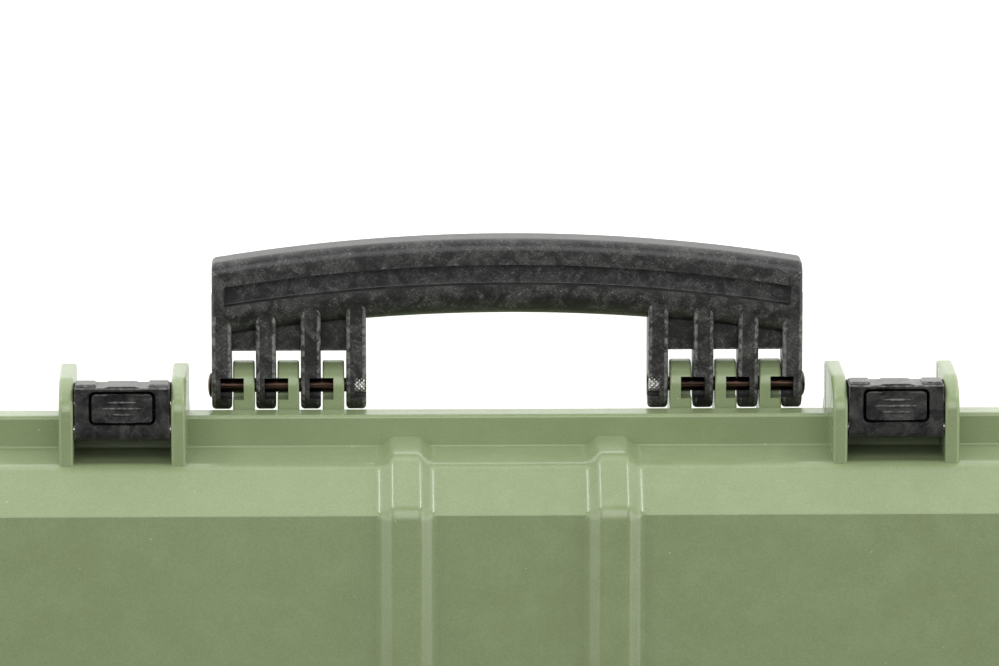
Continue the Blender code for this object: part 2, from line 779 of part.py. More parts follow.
def build_spring(index, x):
    """A closed coil between the pocket's floor and the button."""
    low = POCKET_FLOOR_Z + 0.3 + SPRING_WIRE_R
    high = BUTTON_BOTTOM_Z - 0.3 - SPRING_WIRE_R
    steps = SPRING_TURNS * 12
    rings = []
    for i in range(steps + 1):
        angle = 2.0 * math.pi * SPRING_TURNS * i / steps
        z = low + (high - low) * i / steps
        out = np.array([math.cos(angle), math.sin(angle), 0.0])
        centre = np.array([x, BUTTON_Y, z]) + SPRING_R * out
        ring = []
        for a, b in circle(SPRING_WIRE_R, 6):
            ring.append(tuple(centre + out * a + np.array([0.0, 0.0, b])))
        rings.append(ring)
    mesh_object(f"latch_spring_{index}", *loft(rings), "steel", (x, BUTTON_Y, POCKET_FLOOR_Z))


def build_hinge_pins():
    reach = LID_KNUCKLE_HALF + KNUCKLE_GAP + BASE_KNUCKLE_W - 0.5
    for index, x in enumerate(HINGE_X, start=1):
        pin = rod_x(HINGE_PIN_R, x - reach, x + reach, HINGE_Y, HINGE_Z)
        mesh_object(f"hinge_pin_{index}", *pin, "steel", (x, HINGE_Y, HINGE_Z))


def build_valve():
    face = -VALVE_BOSS_OUT - VALVE_GAP
    outer = face - VALVE_FLANGE_T
    body = [
        (VALVE_STEM_R, -VALVE_IN),
        (VALVE_STEM_R, face),
        (VALVE_FLANGE_R, face),
        (VALVE_FLANGE_R, outer + 1.0),
        (VALVE_FLANGE_R - 1.0, outer),
    ]
    mesh_object("valve_body", *turned_y(body, VALVE_X, VALVE_Z), "black_nylon")
    start = outer - VALVE_GAP
    cap = [
        (VALVE_CAP_R, start),
        (VALVE_CAP_R, start - VALVE_CAP_T + 0.8),
        (VALVE_CAP_R - 0.8, start - VALVE_CAP_T),
    ]
    mesh_object("valve_cap", *turned_y(cap, VALVE_X, VALVE_Z), "black_nylon")


def build_part():
    clear_scene()
    build_base_shell()
    build_lid_shell()
    build_gasket()
    build_foam()
    build_handle()
    build_handle_pins()
    for index, x in enumerate(LATCH_X, start=1):
        build_latch(index, x)
    build_hinge_pins()
    build_valve()


build_part()
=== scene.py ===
import math
from contextlib import contextmanager

import bmesh
import bpy
import numpy as np
from mathutils import Matrix, Vector


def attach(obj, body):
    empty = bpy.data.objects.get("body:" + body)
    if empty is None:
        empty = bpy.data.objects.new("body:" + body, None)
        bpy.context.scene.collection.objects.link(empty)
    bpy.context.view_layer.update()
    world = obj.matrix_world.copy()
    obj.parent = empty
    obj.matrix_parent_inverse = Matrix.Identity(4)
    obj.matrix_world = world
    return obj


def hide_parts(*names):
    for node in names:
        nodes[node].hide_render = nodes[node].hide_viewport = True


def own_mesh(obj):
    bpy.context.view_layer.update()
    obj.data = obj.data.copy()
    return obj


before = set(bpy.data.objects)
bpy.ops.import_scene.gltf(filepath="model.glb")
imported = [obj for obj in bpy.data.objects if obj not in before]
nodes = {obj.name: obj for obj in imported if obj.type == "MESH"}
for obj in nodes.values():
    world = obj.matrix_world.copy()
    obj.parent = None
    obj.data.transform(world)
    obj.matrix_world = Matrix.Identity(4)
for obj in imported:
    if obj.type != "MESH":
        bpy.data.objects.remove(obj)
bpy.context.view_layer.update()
mm = 0.001
print("frame loaded:", len(nodes), "nodes")


# Small helpers: colours, nodes, meshes

def hexToLinear(text):
    values = [int(text[i:i + 2], 16) / 255.0 for i in (1, 3, 5)]
    linear = [v / 12.92 if v <= 0.04045 else ((v + 0.055) / 1.055) ** 2.4 for v in values]
    return (*linear, 1.0)


def setInputs(tree, node, inputs):
    # A node given as a value is linked from its first live output
    for key, value in inputs.items():
        if isinstance(value, bpy.types.Node):
            value = next(s for s in value.outputs if s.enabled)
        if isinstance(value, bpy.types.NodeSocket):
            tree.links.new(value, node.inputs[key])
        else:
            node.inputs[key].default_value = value


def addNode(tree, kind, inputs=None, **settings):
    # A kind without the word Node is a shader node
    node = tree.nodes.new(kind if "Node" in kind else "ShaderNode" + kind)
    for key, value in settings.items():
        setattr(node, key, value)
    setInputs(tree, node, inputs or {})
    return node


def roundPath(points, radii, steps=5):
    # An open 2D path with its corners turned to arcs
    out = [tuple(points[0])]
    for i in range(1, len(points) - 1):
        here = np.array(points[i], float)
        back = np.array(points[i - 1], float) - here
        ahead = np.array(points[i + 1], float) - here
        radius = radii[i]
        lengthA, lengthB = np.linalg.norm(back), np.linalg.norm(ahead)
        back, ahead = back / lengthA, ahead / lengthB
        angle = math.acos(float(np.clip(np.dot(back, ahead), -1.0, 1.0)))
        if radius <= 0.0 or angle > math.pi - 1e-3:
            out.append(tuple(here))
            continue
        cut = min(radius / math.tan(angle / 2.0), 0.48 * lengthA, 0.48 * lengthB)
        radius = cut * math.tan(angle / 2.0)
        centre = here + (back + ahead) / np.linalg.norm(back + ahead) * radius / math.sin(angle / 2.0)
        start = here + back * cut - centre
        end = here + ahead * cut - centre
        turn = math.acos(float(np.clip(np.dot(start, end) / radius ** 2, -1.0, 1.0)))
        for k in range(steps + 1):
            t = k / steps
            a, b = math.sin((1.0 - t) * turn), math.sin(t * turn)
            out.append(tuple(centre + (a * start + b * end) / math.sin(turn)))
    out.append(tuple(points[-1]))
    return out


def closedPath(points, radii, steps=5):
    wrapped = [points[-1], *points, points[0]]
    return roundPath(wrapped, [0.0, *radii, 0.0], steps)[1:-1]


def loft(rings, closed=False):
    count = len(rings[0])
    verts = [tuple(p) for ring in rings for p in ring]
    faces = []
    for i in range(len(rings) if closed else len(rings) - 1):
        a, b = i * count, ((i + 1) % len(rings)) * count
        for j in range(count):
            k = (j + 1) % count
            faces.append((a + j, a + k, b + k, b + j))
    if not closed:
        last = (len(rings) - 1) * count
        faces.append(tuple(reversed(range(count))))
        faces.append(tuple(range(last, last + count)))
    return verts, faces


def newObject(name, data):
    obj = bpy.data.objects.new(name, data)
    bpy.context.scene.collection.objects.link(obj)
    return obj


@contextmanager
def editing(mesh):
    work = bmesh.new()
    work.from_mesh(mesh)
    yield work
    work.to_mesh(mesh)
    work.free()


def solid(name, shape):
    # One object from millimetre points, faces outwards
    verts, faces = shape
    mesh = bpy.data.meshes.new(name)
    mesh.from_pydata([tuple(c * mm for c in v) for v in verts], [], faces)
    with editing(mesh) as work:
        bmesh.ops.remove_doubles(work, verts=work.verts, dist=1e-7)
        bmesh.ops.recalc_face_normals(work, faces=work.faces)
    return newObject(name, mesh)


def softenEdges(obj, width, segments=3, angle=28.0):
    limit = math.radians(angle)
    with editing(obj.data) as work:
        edges = [e for e in work.edges if e.is_manifold and e.calc_face_angle(0.0) > limit]
        bmesh.ops.bevel(work, geom=edges, offset=width * mm, offset_type="OFFSET", segments=segments,
                        profile=0.5, affect="EDGES", clamp_overlap=True)
    return obj


def evaluated(obj):
    bpy.context.view_layer.update()
    graph = bpy.context.evaluated_depsgraph_get()
    mesh = bpy.data.meshes.new_from_object(obj.evaluated_get(graph))
    obj.modifiers.clear()
    obj.data = mesh
    return obj


def dropObject(obj):
    bpy.data.objects.remove(obj, do_unlink=True)


def combine(target, tool, operation="UNION"):
    modifier = target.modifiers.new("combine", "BOOLEAN")
    modifier.object = tool
    modifier.operation = operation
    modifier.solver = "EXACT"
    evaluated(target)
    dropObject(tool)
    with editing(target.data) as work:
        bmesh.ops.remove_doubles(work, verts=work.verts, dist=2e-6)
        bmesh.ops.dissolve_degenerate(work, edges=work.edges, dist=2e-6)
    return target


def joined(name, objects):
    mesh = bpy.data.meshes.new(name)
    with editing(mesh) as work:
        for obj in objects:
            work.from_mesh(obj.data)
    for obj in objects:
        dropObject(obj)
    return newObject(name, mesh)


def mirrored(values):
    return [side * v for v in values for side in (-1, 1)]


def bothSides(low, high):
    return (-high, -low), (low, high)


def middleOf(span):
    return (span[0] + span[1]) / 2


def prismX(profile, x0, x1):
    return loft([[(x0, y, z) for y, z in profile], [(x1, y, z) for y, z in profile]])


def prismZ(profile, z0, z1):
    return loft([[(x, y, z0) for x, y in profile], [(x, y, z1) for x, y in profile]])


def boxShape(low, high):
    (x0, y0, z0), (x1, y1, z1) = low, high
    return prismZ([(x0, y0), (x1, y0), (x1, y1), (x0, y1)], z0, z1)


def circlePoints(radius, steps=32):
    return [(radius * math.cos(2 * math.pi * i / steps), radius * math.sin(2 * math.pi * i / steps))
            for i in range(steps)]


def turnedX(profile, y, z, steps=32):
    return loft([[(x, y + a, z + b) for a, b in circlePoints(r, steps)] for x, r in profile])


def turnedY(profile, x, z, steps=40):
    return loft([[(x + a, y, z + b) for a, b in circlePoints(r, steps)] for y, r in profile])


def turnedZ(profile, x, y, steps=32):
    return loft([[(x + a, y + b, z) for a, b in circlePoints(r, steps)] for z, r in profile])


def arcPoints(centre, radius, start, end, steps):
    points = []
    for i in range(steps + 1):
        angle = math.radians(start + (end - start) * i / steps)
        points.append((centre[0] + radius * math.cos(angle), centre[1] + radius * math.sin(angle)))
    return points


def finishPiece(obj, name, material, body, cadNodes=(), sharp=32.0, wearAndSheenWidth=1.6):
    # Face attribute is 1 on narrow rounded edges, where handling scuffs them; it also places a painted edge
    # highlight there
    mesh = obj.data
    obj.name = mesh.name = name
    with editing(mesh) as work:
        layer = work.faces.layers.float.new("wearAndSheen")
        for face in work.faces:
            longest = max(e.calc_length() for e in face.edges)
            width = face.calc_area() / max(longest, 1e-9)
            convex = max((e.calc_face_angle_signed(0.0) for e in face.edges if e.is_manifold), default=0.0)
            # Painted highlight and scuffing: narrow convex faces get 1 and are drawn lighter grey
            face[layer] = 1.0 if width < wearAndSheenWidth * mm and convex > math.radians(9.0) else 0.0
            face.smooth = True
            face.material_index = 0
    mesh.materials.clear()
    mesh.materials.append(material)
    mesh.set_sharp_from_angle(angle=math.radians(sharp))
    weighted = obj.modifiers.new("weighted", "WEIGHTED_NORMAL")
    weighted.keep_sharp = True
    weighted.weight = 90
    evaluated(obj)
    obj.data.name = name
    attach(obj, body)
    if cadNodes:
        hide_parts(*cadNodes)
    return obj


# Materials

smoothStep = {"interpolation_type": "SMOOTHSTEP"}
colourMix = {"data_type": "RGBA"}


def newMaterial(name):
    material = bpy.data.materials.new(name)
    material.use_nodes = True
    tree = material.node_tree
    place = addNode(tree, "TexCoord").outputs["Object"]
    return material, tree, tree.nodes["Principled BSDF"], place


olivePolymer = {
    "base": "#82906a", "deep": "#7f8c66", "pale": "#85936d", "speck": "#b9c2a6",
    "roughness": (0.21, 0.27), "ior": 1.49, "mottle": 0.1,
    "flow": 0.16, "cloud": 0.012, "grain": 0.0006, "speckSpacing": 0.0055,
}


def makeOlivePolymer(name="mouldedOlivePolypropylene"):
    # High-impact polypropylene copolymer, injection moulded in a spark-textured tool.
    # It looks satin, with a fine grain, slow colour flow and a few pale dust specks.
    cfg = olivePolymer
    material, tree, shader, place = newMaterial(name)
    flow = addNode(tree, "TexNoise",
                   {"Vector": place, "Scale": 1.0 / cfg["flow"], "Detail": 3.0, "Roughness": 0.5})
    cloud = addNode(tree, "TexNoise",
                    {"Vector": place, "Scale": 1.0 / cfg["cloud"], "Detail": 4.0, "Roughness": 0.6})
    grain = addNode(tree, "TexNoise", {"Vector": place, "Scale": 1.0 / cfg["grain"], "Detail": 2.0})
    slow = addNode(tree, "MapRange", {"Value": flow, "From Min": 0.35, "From Max": 0.65}, **smoothStep)
    pale = addNode(tree, "MapRange", {"Value": cloud, "From Min": 0.3, "From Max": 0.8}, **smoothStep)
    colour = addNode(tree, "Mix", {0: slow, 6: hexToLinear(cfg["deep"]), 7: hexToLinear(cfg["base"])},
                     **colourMix)
    colour = addNode(tree, "Mix", {0: pale, 6: colour, 7: hexToLinear(cfg["pale"])}, **colourMix)
    tint = addNode(tree, "MapRange",
                   {"Value": grain, "From Min": 0.25, "From Max": 0.75, "To Min": 1.0 - cfg["mottle"],
                    "To Max": 1.0 + cfg["mottle"]})
    shade = addNode(tree, "CombineColor", {"Red": tint, "Green": tint, "Blue": tint})
    colour = addNode(tree, "Mix", {0: 1.0, 6: colour, 7: shade}, blend_type="MULTIPLY", **colourMix)
    cells = addNode(tree, "TexVoronoi", {"Vector": place, "Scale": 1.0 / cfg["speckSpacing"]})
    dot = addNode(tree, "MapRange", {"Value": cells, "From Min": 0.055, "From Max": 0.03}, **smoothStep)
    lucky = addNode(tree, "SeparateColor", {"Color": cells.outputs["Color"]})
    few = addNode(tree, "MapRange", {"Value": lucky, "From Min": 0.8, "From Max": 0.9}, **smoothStep)
    speck = addNode(tree, "Math", {0: dot, 1: few}, operation="MULTIPLY")
    colour = addNode(tree, "Mix", {0: speck, 6: colour, 7: hexToLinear(cfg["speck"])}, **colourMix)
    rough = addNode(tree, "MapRange",
                    {"Value": cloud, "From Min": 0.3, "From Max": 0.7, "To Min": cfg["roughness"][0],
                     "To Max": cfg["roughness"][1]})
    bump = addNode(tree, "Bump", {"Height": grain, "Strength": 0.22, "Distance": 0.00012})
    setInputs(tree, shader, {"Base Color": colour, "Roughness": rough, "IOR": cfg["ior"], "Normal": bump})
    return material


# The light grey for narrow edges is partly scuffing and partly a painted edge highlight
blackNylon = {
    "base": "#141313", "streak": "#373635", "fibre": "#807f7d", "scuffAndSheen": "#7f7e7c",
    "roughness": (0.36, 0.48), "ior": 1.52, "swirl": 0.009, "rubAndSheen": 0.0018,
    "fibreWidth": 0.00033, "fibreStretch": (7.0, 1.0, 2.0), "fibreTurns": (0.7, -0.6, 2.2),
}


def makeBlackNylon(name="mouldedGlassFilledNylon", scuffAndSheenAmount=0.75, polish=0.0, fibreShare=0.85):
    # Polyamide with short glass fibre, injection moulded.
    # Fibre near the skin shows as grey swirls and fine short scratches; narrow rounded edges turn grey,
    # partly scuffed and partly as a painted edge highlight.
    cfg = blackNylon
    material, tree, shader, place = newMaterial(name)
    swirl = addNode(tree, "TexNoise",
                    {"Vector": place, "Scale": 1.0 / cfg["swirl"], "Detail": 4.0, "Roughness": 0.6,
                     "Distortion": 1.2})
    lines = 0.0
    for turn in cfg["fibreTurns"]:  # three lays of short fibre, about 2 mm long
        turned = addNode(tree, "Mapping",
                         {"Vector": place, "Rotation": (0.3, 0.2 * turn, turn),
                          "Scale": cfg["fibreStretch"]}, vector_type="TEXTURE")
        strand = addNode(tree, "TexNoise",
                         {"Vector": turned, "Scale": 1.0 / cfg["fibreWidth"], "Detail": 2.0, "Roughness": 0.6,
                          "Distortion": 1.0})
        strand = addNode(tree, "MapRange", {"Value": strand, "From Min": 0.58, "From Max": 0.76},
                         **smoothStep)
        lines = addNode(tree, "Math", {0: strand, 1: lines}, operation="MAXIMUM")
    light = addNode(tree, "MapRange", {"Value": swirl, "From Min": 0.4, "From Max": 0.72}, **smoothStep)
    colour = addNode(tree, "Mix", {0: light, 6: hexToLinear(cfg["base"]), 7: hexToLinear(cfg["streak"])},
                     **colourMix)
    patch = addNode(tree, "MapRange", {"Value": swirl, "From Min": 0.3, "From Max": 0.6}, **smoothStep)
    fibres = addNode(tree, "Math", {0: lines, 1: patch}, operation="MULTIPLY")
    fibres = addNode(tree, "Math", {0: fibres, 1: fibreShare}, operation="MULTIPLY")
    colour = addNode(tree, "Mix", {0: fibres, 6: colour, 7: hexToLinear(cfg["fibre"])}, **colourMix)
    # Painted edge highlight, mixed with scuffing: narrow rounded edges blend towards light grey
    wearAndSheen = addNode(tree, "Attribute", attribute_name="wearAndSheen").outputs["Fac"]
    fine = addNode(tree, "TexNoise", {"Vector": place, "Scale": 1.0 / cfg["rubAndSheen"], "Detail": 3.0})
    rubAndSheen = addNode(tree, "MapRange", {"Value": fine, "From Min": 0.36, "From Max": 0.66}, **smoothStep)
    rubAndSheen = addNode(tree, "Math", {0: wearAndSheen, 1: rubAndSheen}, operation="MULTIPLY")
    rubAndSheen = addNode(tree, "Math", {0: rubAndSheen, 1: scuffAndSheenAmount}, operation="MULTIPLY")
    colour = addNode(tree, "Mix", {0: rubAndSheen, 6: colour, 7: hexToLinear(cfg["scuffAndSheen"])}, **colourMix)
    rough = addNode(tree, "MapRange",
                    {"Value": swirl, "From Min": 0.35, "From Max": 0.7,
                     "To Min": cfg["roughness"][0] - polish, "To Max": cfg["roughness"][1] - polish})
    height = addNode(tree, "Math", {0: lines, 1: fine}, operation="ADD")
    bump = addNode(tree, "Bump", {"Height": height, "Strength": 0.35, "Distance": 0.0001})
    setInputs(tree, shader, {"Base Color": colour, "Roughness": rough, "IOR": cfg["ior"], "Normal": bump})
    return material


def makeSteel(name, colour, dark, roughness, lay):
    # Drawn stainless wire or blackened pin: fine marks run round or along the piece
    material, tree, shader, place = newMaterial(name)
    turned = addNode(tree, "Mapping", {"Vector": place, "Scale": lay})
    marks = addNode(tree, "TexNoise", {"Vector": turned, "Scale": 900.0, "Detail": 3.0})
    shine = addNode(tree, "MapRange", {"Value": marks, "From Min": 0.35, "From Max": 0.7}, **smoothStep)
    colour = addNode(tree, "Mix", {0: shine, 6: hexToLinear(dark), 7: hexToLinear(colour)}, **colourMix)
    rough = addNode(tree, "MapRange",
                    {"Value": marks, "From Min": 0.3, "From Max": 0.7, "To Min": roughness - 0.06,
                     "To Max": roughness + 0.1})
    bump = addNode(tree, "Bump", {"Height": marks, "Strength": 0.12, "Distance": 0.00005})
    setInputs(tree, shader, {"Base Color": colour, "Roughness": rough, "Metallic": 1.0, "Normal": bump})
    return material


def makeRubber(name="extrudedSiliconeRubber"):
    # Extruded gasket cord: matt black with a faint dusty bloom
    material, tree, shader, place = newMaterial(name)
    bloom = addNode(tree, "TexNoise", {"Vector": place, "Scale": 160.0, "Detail": 4.0})
    dusty = addNode(tree, "MapRange", {"Value": bloom, "From Min": 0.4, "From Max": 0.75}, **smoothStep)
    colour = addNode(tree, "Mix", {0: dusty, 6: hexToLinear("#1c1c1d"), 7: hexToLinear("#2e2e30")},
                     **colourMix)
    bump = addNode(tree, "Bump", {"Height": bloom, "Strength": 0.2, "Distance": 0.0001})
    setInputs(tree, shader, {"Base Color": colour, "Roughness": 0.75, "Normal": bump})
    return material


def makeFoam(name="openCellPolyurethaneFoam"):
    # Cut open-cell foam: charcoal, dull, with pores drawn at 1.6 mm so that they show; painted shade darkens
    # the pore hollows
    material, tree, shader, place = newMaterial(name)
    pores = addNode(tree, "TexVoronoi", {"Vector": place, "Scale": 1.0 / 0.0016})
    cloud = addNode(tree, "TexNoise", {"Vector": place, "Scale": 40.0, "Detail": 4.0})
    patch = addNode(tree, "MapRange", {"Value": cloud, "From Min": 0.35, "From Max": 0.7}, **smoothStep)
    # Painted shade: the colour darkens towards each pore centre, as shade inside the pore hollows
    cells = addNode(tree, "MapRange", {"Value": pores, "From Min": 0.15, "From Max": 0.5}, **smoothStep)
    colour = addNode(tree, "Mix", {0: patch, 6: hexToLinear("#2b2b2e"), 7: hexToLinear("#3a3a3e")},
                     **colourMix)
    colour = addNode(tree, "Mix", {0: cells, 6: hexToLinear("#1b1b1d"), 7: colour}, **colourMix)
    bump = addNode(tree, "Bump", {"Height": pores, "Strength": 0.5, "Distance": 0.0006})
    setInputs(tree, shader, {"Base Color": colour, "Roughness": 0.95, "Sheen Weight": 0.15, "Normal": bump})
    return material


olive = makeOlivePolymer()
nylon = makeBlackNylon()
latchNylon = makeBlackNylon("mouldedNylonLatch", 0.6, 0.1, 0.35)
brightSteel = makeSteel("drawnStainlessSteel", "#d4d3cf", "#9c9a96", 0.26, (0.1, 1.0, 1.0))
knurledSteel = makeSteel("knurledStainlessSteel", "#fbfaf7", "#e4e2de", 0.5, (1.0, 1.0, 1.0))
blackSteel = makeSteel("blackenedSteelPin", "#5a473d", "#2a211d", 0.3, (0.08, 1.0, 1.0))
gasketRubber = makeRubber()
charcoalFoam = makeFoam()
print("materials made")


# Geometry Nodes: copies of one part at given places, and patterns that follow a rule

socketKinds = {float: "NodeSocketFloat", int: "NodeSocketInt"}


def newTree(name, inputs):
    # A number gives an input its kind and value; a word names its kind
    tree = bpy.data.node_groups.new(name, "GeometryNodeTree")
    tree.interface.new_socket("Geometry", in_out="INPUT", socket_type="NodeSocketGeometry")
    for label, value in {**inputs, "Finish": "NodeSocketMaterial"}.items():
        kind = socketKinds.get(type(value), value)
        socket = tree.interface.new_socket(label, in_out="INPUT", socket_type=kind)
        if kind != value:
            socket.default_value = value
    tree.interface.new_socket("Geometry", in_out="OUTPUT", socket_type="NodeSocketGeometry")
    return tree, addNode(tree, "NodeGroupInput").outputs


def closeTree(tree, given, geometry):
    real = addNode(tree, "GeometryNodeRealizeInstances", {"Geometry": geometry})
    painted = addNode(tree, "GeometryNodeSetMaterial", {"Geometry": real, "Material": given["Finish"]})
    addNode(tree, "NodeGroupOutput", {"Geometry": painted})
    return tree


def runTree(name, tree, values, base=None):
    # Runs a tree on a base mesh and keeps the plain result
    obj = newObject(name, base or bpy.data.meshes.new(name + "Base"))
    modifier = obj.modifiers.new("rule", "NODES")
    modifier.node_group = tree
    for item in tree.interface.items_tree:
        if item.item_type == "SOCKET" and item.in_out == "INPUT" and item.name in values:
            modifier[item.identifier] = values[item.name]
    return evaluated(obj)


def makeCopyTree():
    tree, given = newTree("placeCopies", {"Part": "NodeSocketObject", "Size": 1.0})
    part = addNode(tree, "GeometryNodeObjectInfo", {"Object": given["Part"]})
    spots = addNode(tree, "GeometryNodeInstanceOnPoints",
                    {"Points": given["Geometry"], "Instance": part.outputs["Geometry"],
                     "Scale": given["Size"]})
    return closeTree(tree, given, spots)


copyTree = makeCopyTree()


def placeCopies(name, part, xs, material=olive):
    # Copies part, made round the origin, to places along X in millimetres, then drops it
    base = bpy.data.meshes.new(name + "Points")
    base.from_pydata([(x * mm, 0, 0) for x in xs], [], [])
    result = runTree(name, copyTree, {"Part": part, "Size": 1.0, "Finish": material}, base)
    dropObject(part)
    return result


# The shells: one rounded outline, lofted through a side section

shellSize = {
    "halfX": 600.0, "halfY": 210.0, "cornerRadius": 54.0, "cornerSteps": 14,
    "partZ": 125.0, "gap": 0.2, "flangeOut": 11.0, "wall": 4.0,
    "lidFlange": 13.0, "lidWall": 29.0, "lidDraft": 1.2, "lidChamfer": 16.4, "lidRise": 18.0, "lidOut": 12.6,
    "baseFlange": 10.0, "baseRecess": 1.9, "baseDraft": 7.5, "footChamfer": 24.0,
}


def shellRing(inset, z):
    cfg = shellSize
    halfX, halfY, radius = (cfg[k] - inset for k in ("halfX", "halfY", "cornerRadius"))
    points = []
    for sx, sy, start in ((1, 1, 0), (-1, 1, 90), (-1, -1, 180), (1, -1, 270)):
        centre = (sx * (halfX - radius), sy * (halfY - radius))
        points += arcPoints(centre, radius, start, start + 90, cfg["cornerSteps"])
    return [(x, y, z) for x, y in points]


def lidHeights():
    # The flange's face, the top of the side wall and the main face
    face = shellSize["partZ"] + shellSize["lidFlange"]
    wallTop = face + shellSize["lidWall"]
    return face, wallTop, wallTop + shellSize["lidRise"]


def lidSection():
    cfg = shellSize
    rim = cfg["partZ"] + cfg["gap"]
    face, wallTop, top = lidHeights()
    upper = cfg["lidOut"] + cfg["lidDraft"]
    crease = upper + cfg["lidChamfer"]
    points = [(crease + 3, top), (crease, top), (upper, wallTop), (cfg["lidOut"], face), (0, face), (0, rim),
              (6, rim), (6, rim + 5), (10, rim + 5), (10, rim), (15, rim),
              (15 + cfg["lidDraft"], wallTop - 2), (crease + 2.2, top - 4)]
    radii = [0, 0.8, 10.0, 0.9, 1.5, 0.8, 0.3, 0.3, 0.3, 0.3, 0.6, 3.0, 0]
    return roundPath(points, radii, 5)


def baseSection():
    cfg = shellSize
    rim = cfg["partZ"] - cfg["gap"]
    under = cfg["partZ"] - cfg["baseFlange"]
    wall = cfg["flangeOut"] + 1
    foot = wall + cfg["baseDraft"]
    points = [(foot + cfg["footChamfer"] + 3, 0), (foot + cfg["footChamfer"], 0), (foot, cfg["footChamfer"]),
              (wall, under), (cfg["baseRecess"], under), (cfg["baseRecess"], rim), (15, rim),
              (foot + 4, cfg["footChamfer"] + 2), (foot + cfg["footChamfer"] + 2.2, 4)]
    radii = [0, 3.0, 7.0, 1.4, 1.4, 0.8, 0.6, 3.0, 0]
    return roundPath(points, radii, 5)


ribSize = {"places": (39.7, 250.0, 340.0, 530.0), "footWidth": 20.5, "topWidth": 10.6, "height": 4.2,
           "sink": 0.02, "embed": 1.5, "footRadius": 6.0, "topRadius": 4.2, "skirt": 6.0}


def ribSection():
    cfg = ribSize
    foot, top = cfg["footWidth"] / 2, cfg["topWidth"] / 2
    rim, deep, sink, tall = foot + cfg["skirt"], -cfg["embed"], -cfg["sink"], cfg["height"]
    points = [(-rim, deep), (-rim, sink), (-foot, sink), (-top, tall), (top, tall), (foot, sink),
              (rim, sink), (rim, deep)]
    radii = [0, 0, cfg["footRadius"], cfg["topRadius"], cfg["topRadius"], cfg["footRadius"], 0, 0]
    return roundPath(points, radii, 8)


def sweepRib(path):
    # Sweeps the rib section along a (y, z) path, standing off along the path's outward normal
    path = [np.array(p, float) for p in path]
    section = ribSection()
    rings = []
    for i, here in enumerate(path):
        before = path[max(i - 1, 0)]
        after = path[min(i + 1, len(path) - 1)]
        along = (after - before) / np.linalg.norm(after - before)
        out = np.array([along[1], -along[0]])
        stretch = 1.0
        if 0 < i < len(path) - 1:
            a = (here - before) / np.linalg.norm(here - before)
            stretch = 1.0 / max(0.5, abs(float(np.dot(a, along))))
        rings.append([(x, *(here + out * h * stretch)) for x, h in section])
    return loft(rings)


def lidRibPath():
    cfg = shellSize
    face, wallTop, top = lidHeights()
    wall = cfg["halfY"] - cfg["lidOut"]
    upper = wall - cfg["lidDraft"]
    inner = upper - cfg["lidChamfer"]
    # listed from the back over the lid to the front, which puts the outward side up
    points = [(wall, face - 1), (upper, wallTop), (inner, top), (-inner, top), (-upper, wallTop),
              (-wall, face - 1)]
    return roundPath(points, [0, 9.0, 4.0, 4.0, 9.0, 0], 7)


def buildLid():
    lid = solid("lid", loft([shellRing(a, z) for a, z in lidSection()]))
    rib = solid("rib", sweepRib(lidRibPath()))
    combine(lid, placeCopies("lidRibs", rib, mirrored(ribSize["places"])))
    for part in (lidLugs(), padlockTabs(True), hingeKnuckles(True)):
        combine(lid, part)
    combine(lid, lidHoles(), "DIFFERENCE")
    return finishPiece(lid, "lidMoulding", olive, "lid", ["lid_shell"], wearAndSheenWidth=0.3)


lugSize = {
    "latches": (-442.5, -148.2, 148.2, 442.5), "gap": 37.4, "thickness": 5.5, "draft": 0.5, "edge": 1.5,
    "out": 227.7, "crestZ": 151.0, "faceOut": 216.0, "sweep": 70.0, "baseOut": 227.0,
}


def placeTapered(name, profile):
    # Lugs stay flat towards the lever; their outer faces thicken down to the parting plane
    cfg = lugSize
    thinZ = lidHeights()[1]
    near, far = cfg["gap"] / 2, cfg["gap"] / 2 + cfg["thickness"]
    slope = cfg["draft"] / (thinZ - shellSize["partZ"])
    sets = []
    for side in (-1, 1):
        rings = [[(side * near, y, z) for y, z in profile],
                 [(side * (far + slope * (thinZ - z)), y, z) for y, z in profile]]
        lug = softenEdges(solid("lug", loft(rings)), cfg["edge"], 4, 40.0)
        sets.append(placeCopies(name, lug, cfg["latches"]))
    return joined(name, sets)


def lidLugs():
    cfg = lugSize
    rim = shellSize["partZ"] + shellSize["gap"]
    wallTop = lidHeights()[1]
    inside = -(shellSize["halfY"] - shellSize["lidOut"] - shellSize["lidDraft"] - 1.5)
    groove = -(shellSize["halfY"] - 5.0)
    # the front face falls back in a long curve to a crease, then runs level to the parting plane
    deep, tall = cfg["out"] - cfg["faceOut"], wallTop - cfg["crestZ"]
    full = math.radians(cfg["sweep"])
    curve = []
    for i in range(13):
        t = math.radians(cfg["sweep"] * i / 12)
        curve.append((-cfg["faceOut"] - deep * math.sin(t) / math.sin(full),
                      wallTop - tall * (1 - math.cos(t)) / (1 - math.cos(full))))
    profile = [(groove, rim), (-cfg["out"], rim), *reversed(curve), (inside, wallTop - 0.3),
               (inside, rim + 8.5), (groove, rim + 6.5)]
    return placeTapered("lidLugs", profile)


def baseLugs():
    out = lugSize["baseOut"]
    rim = shellSize["partZ"] - shellSize["gap"]
    inside = -(shellSize["halfY"] - shellSize["flangeOut"] - 5.0)
    low = shellSize["partZ"] - shellSize["baseFlange"]
    profile = [(inside, rim), (-out, rim), (-out, low + 1.5), (-out + 1.5, low), (-214.0, low),
               (inside, low - 22)]
    return placeTapered("baseLugs", profile)


tabSize = {"places": (-295.0, 295.0), "width": 26.0, "out": 227.0, "holeY": -217.0, "holeRadius": 4.5}


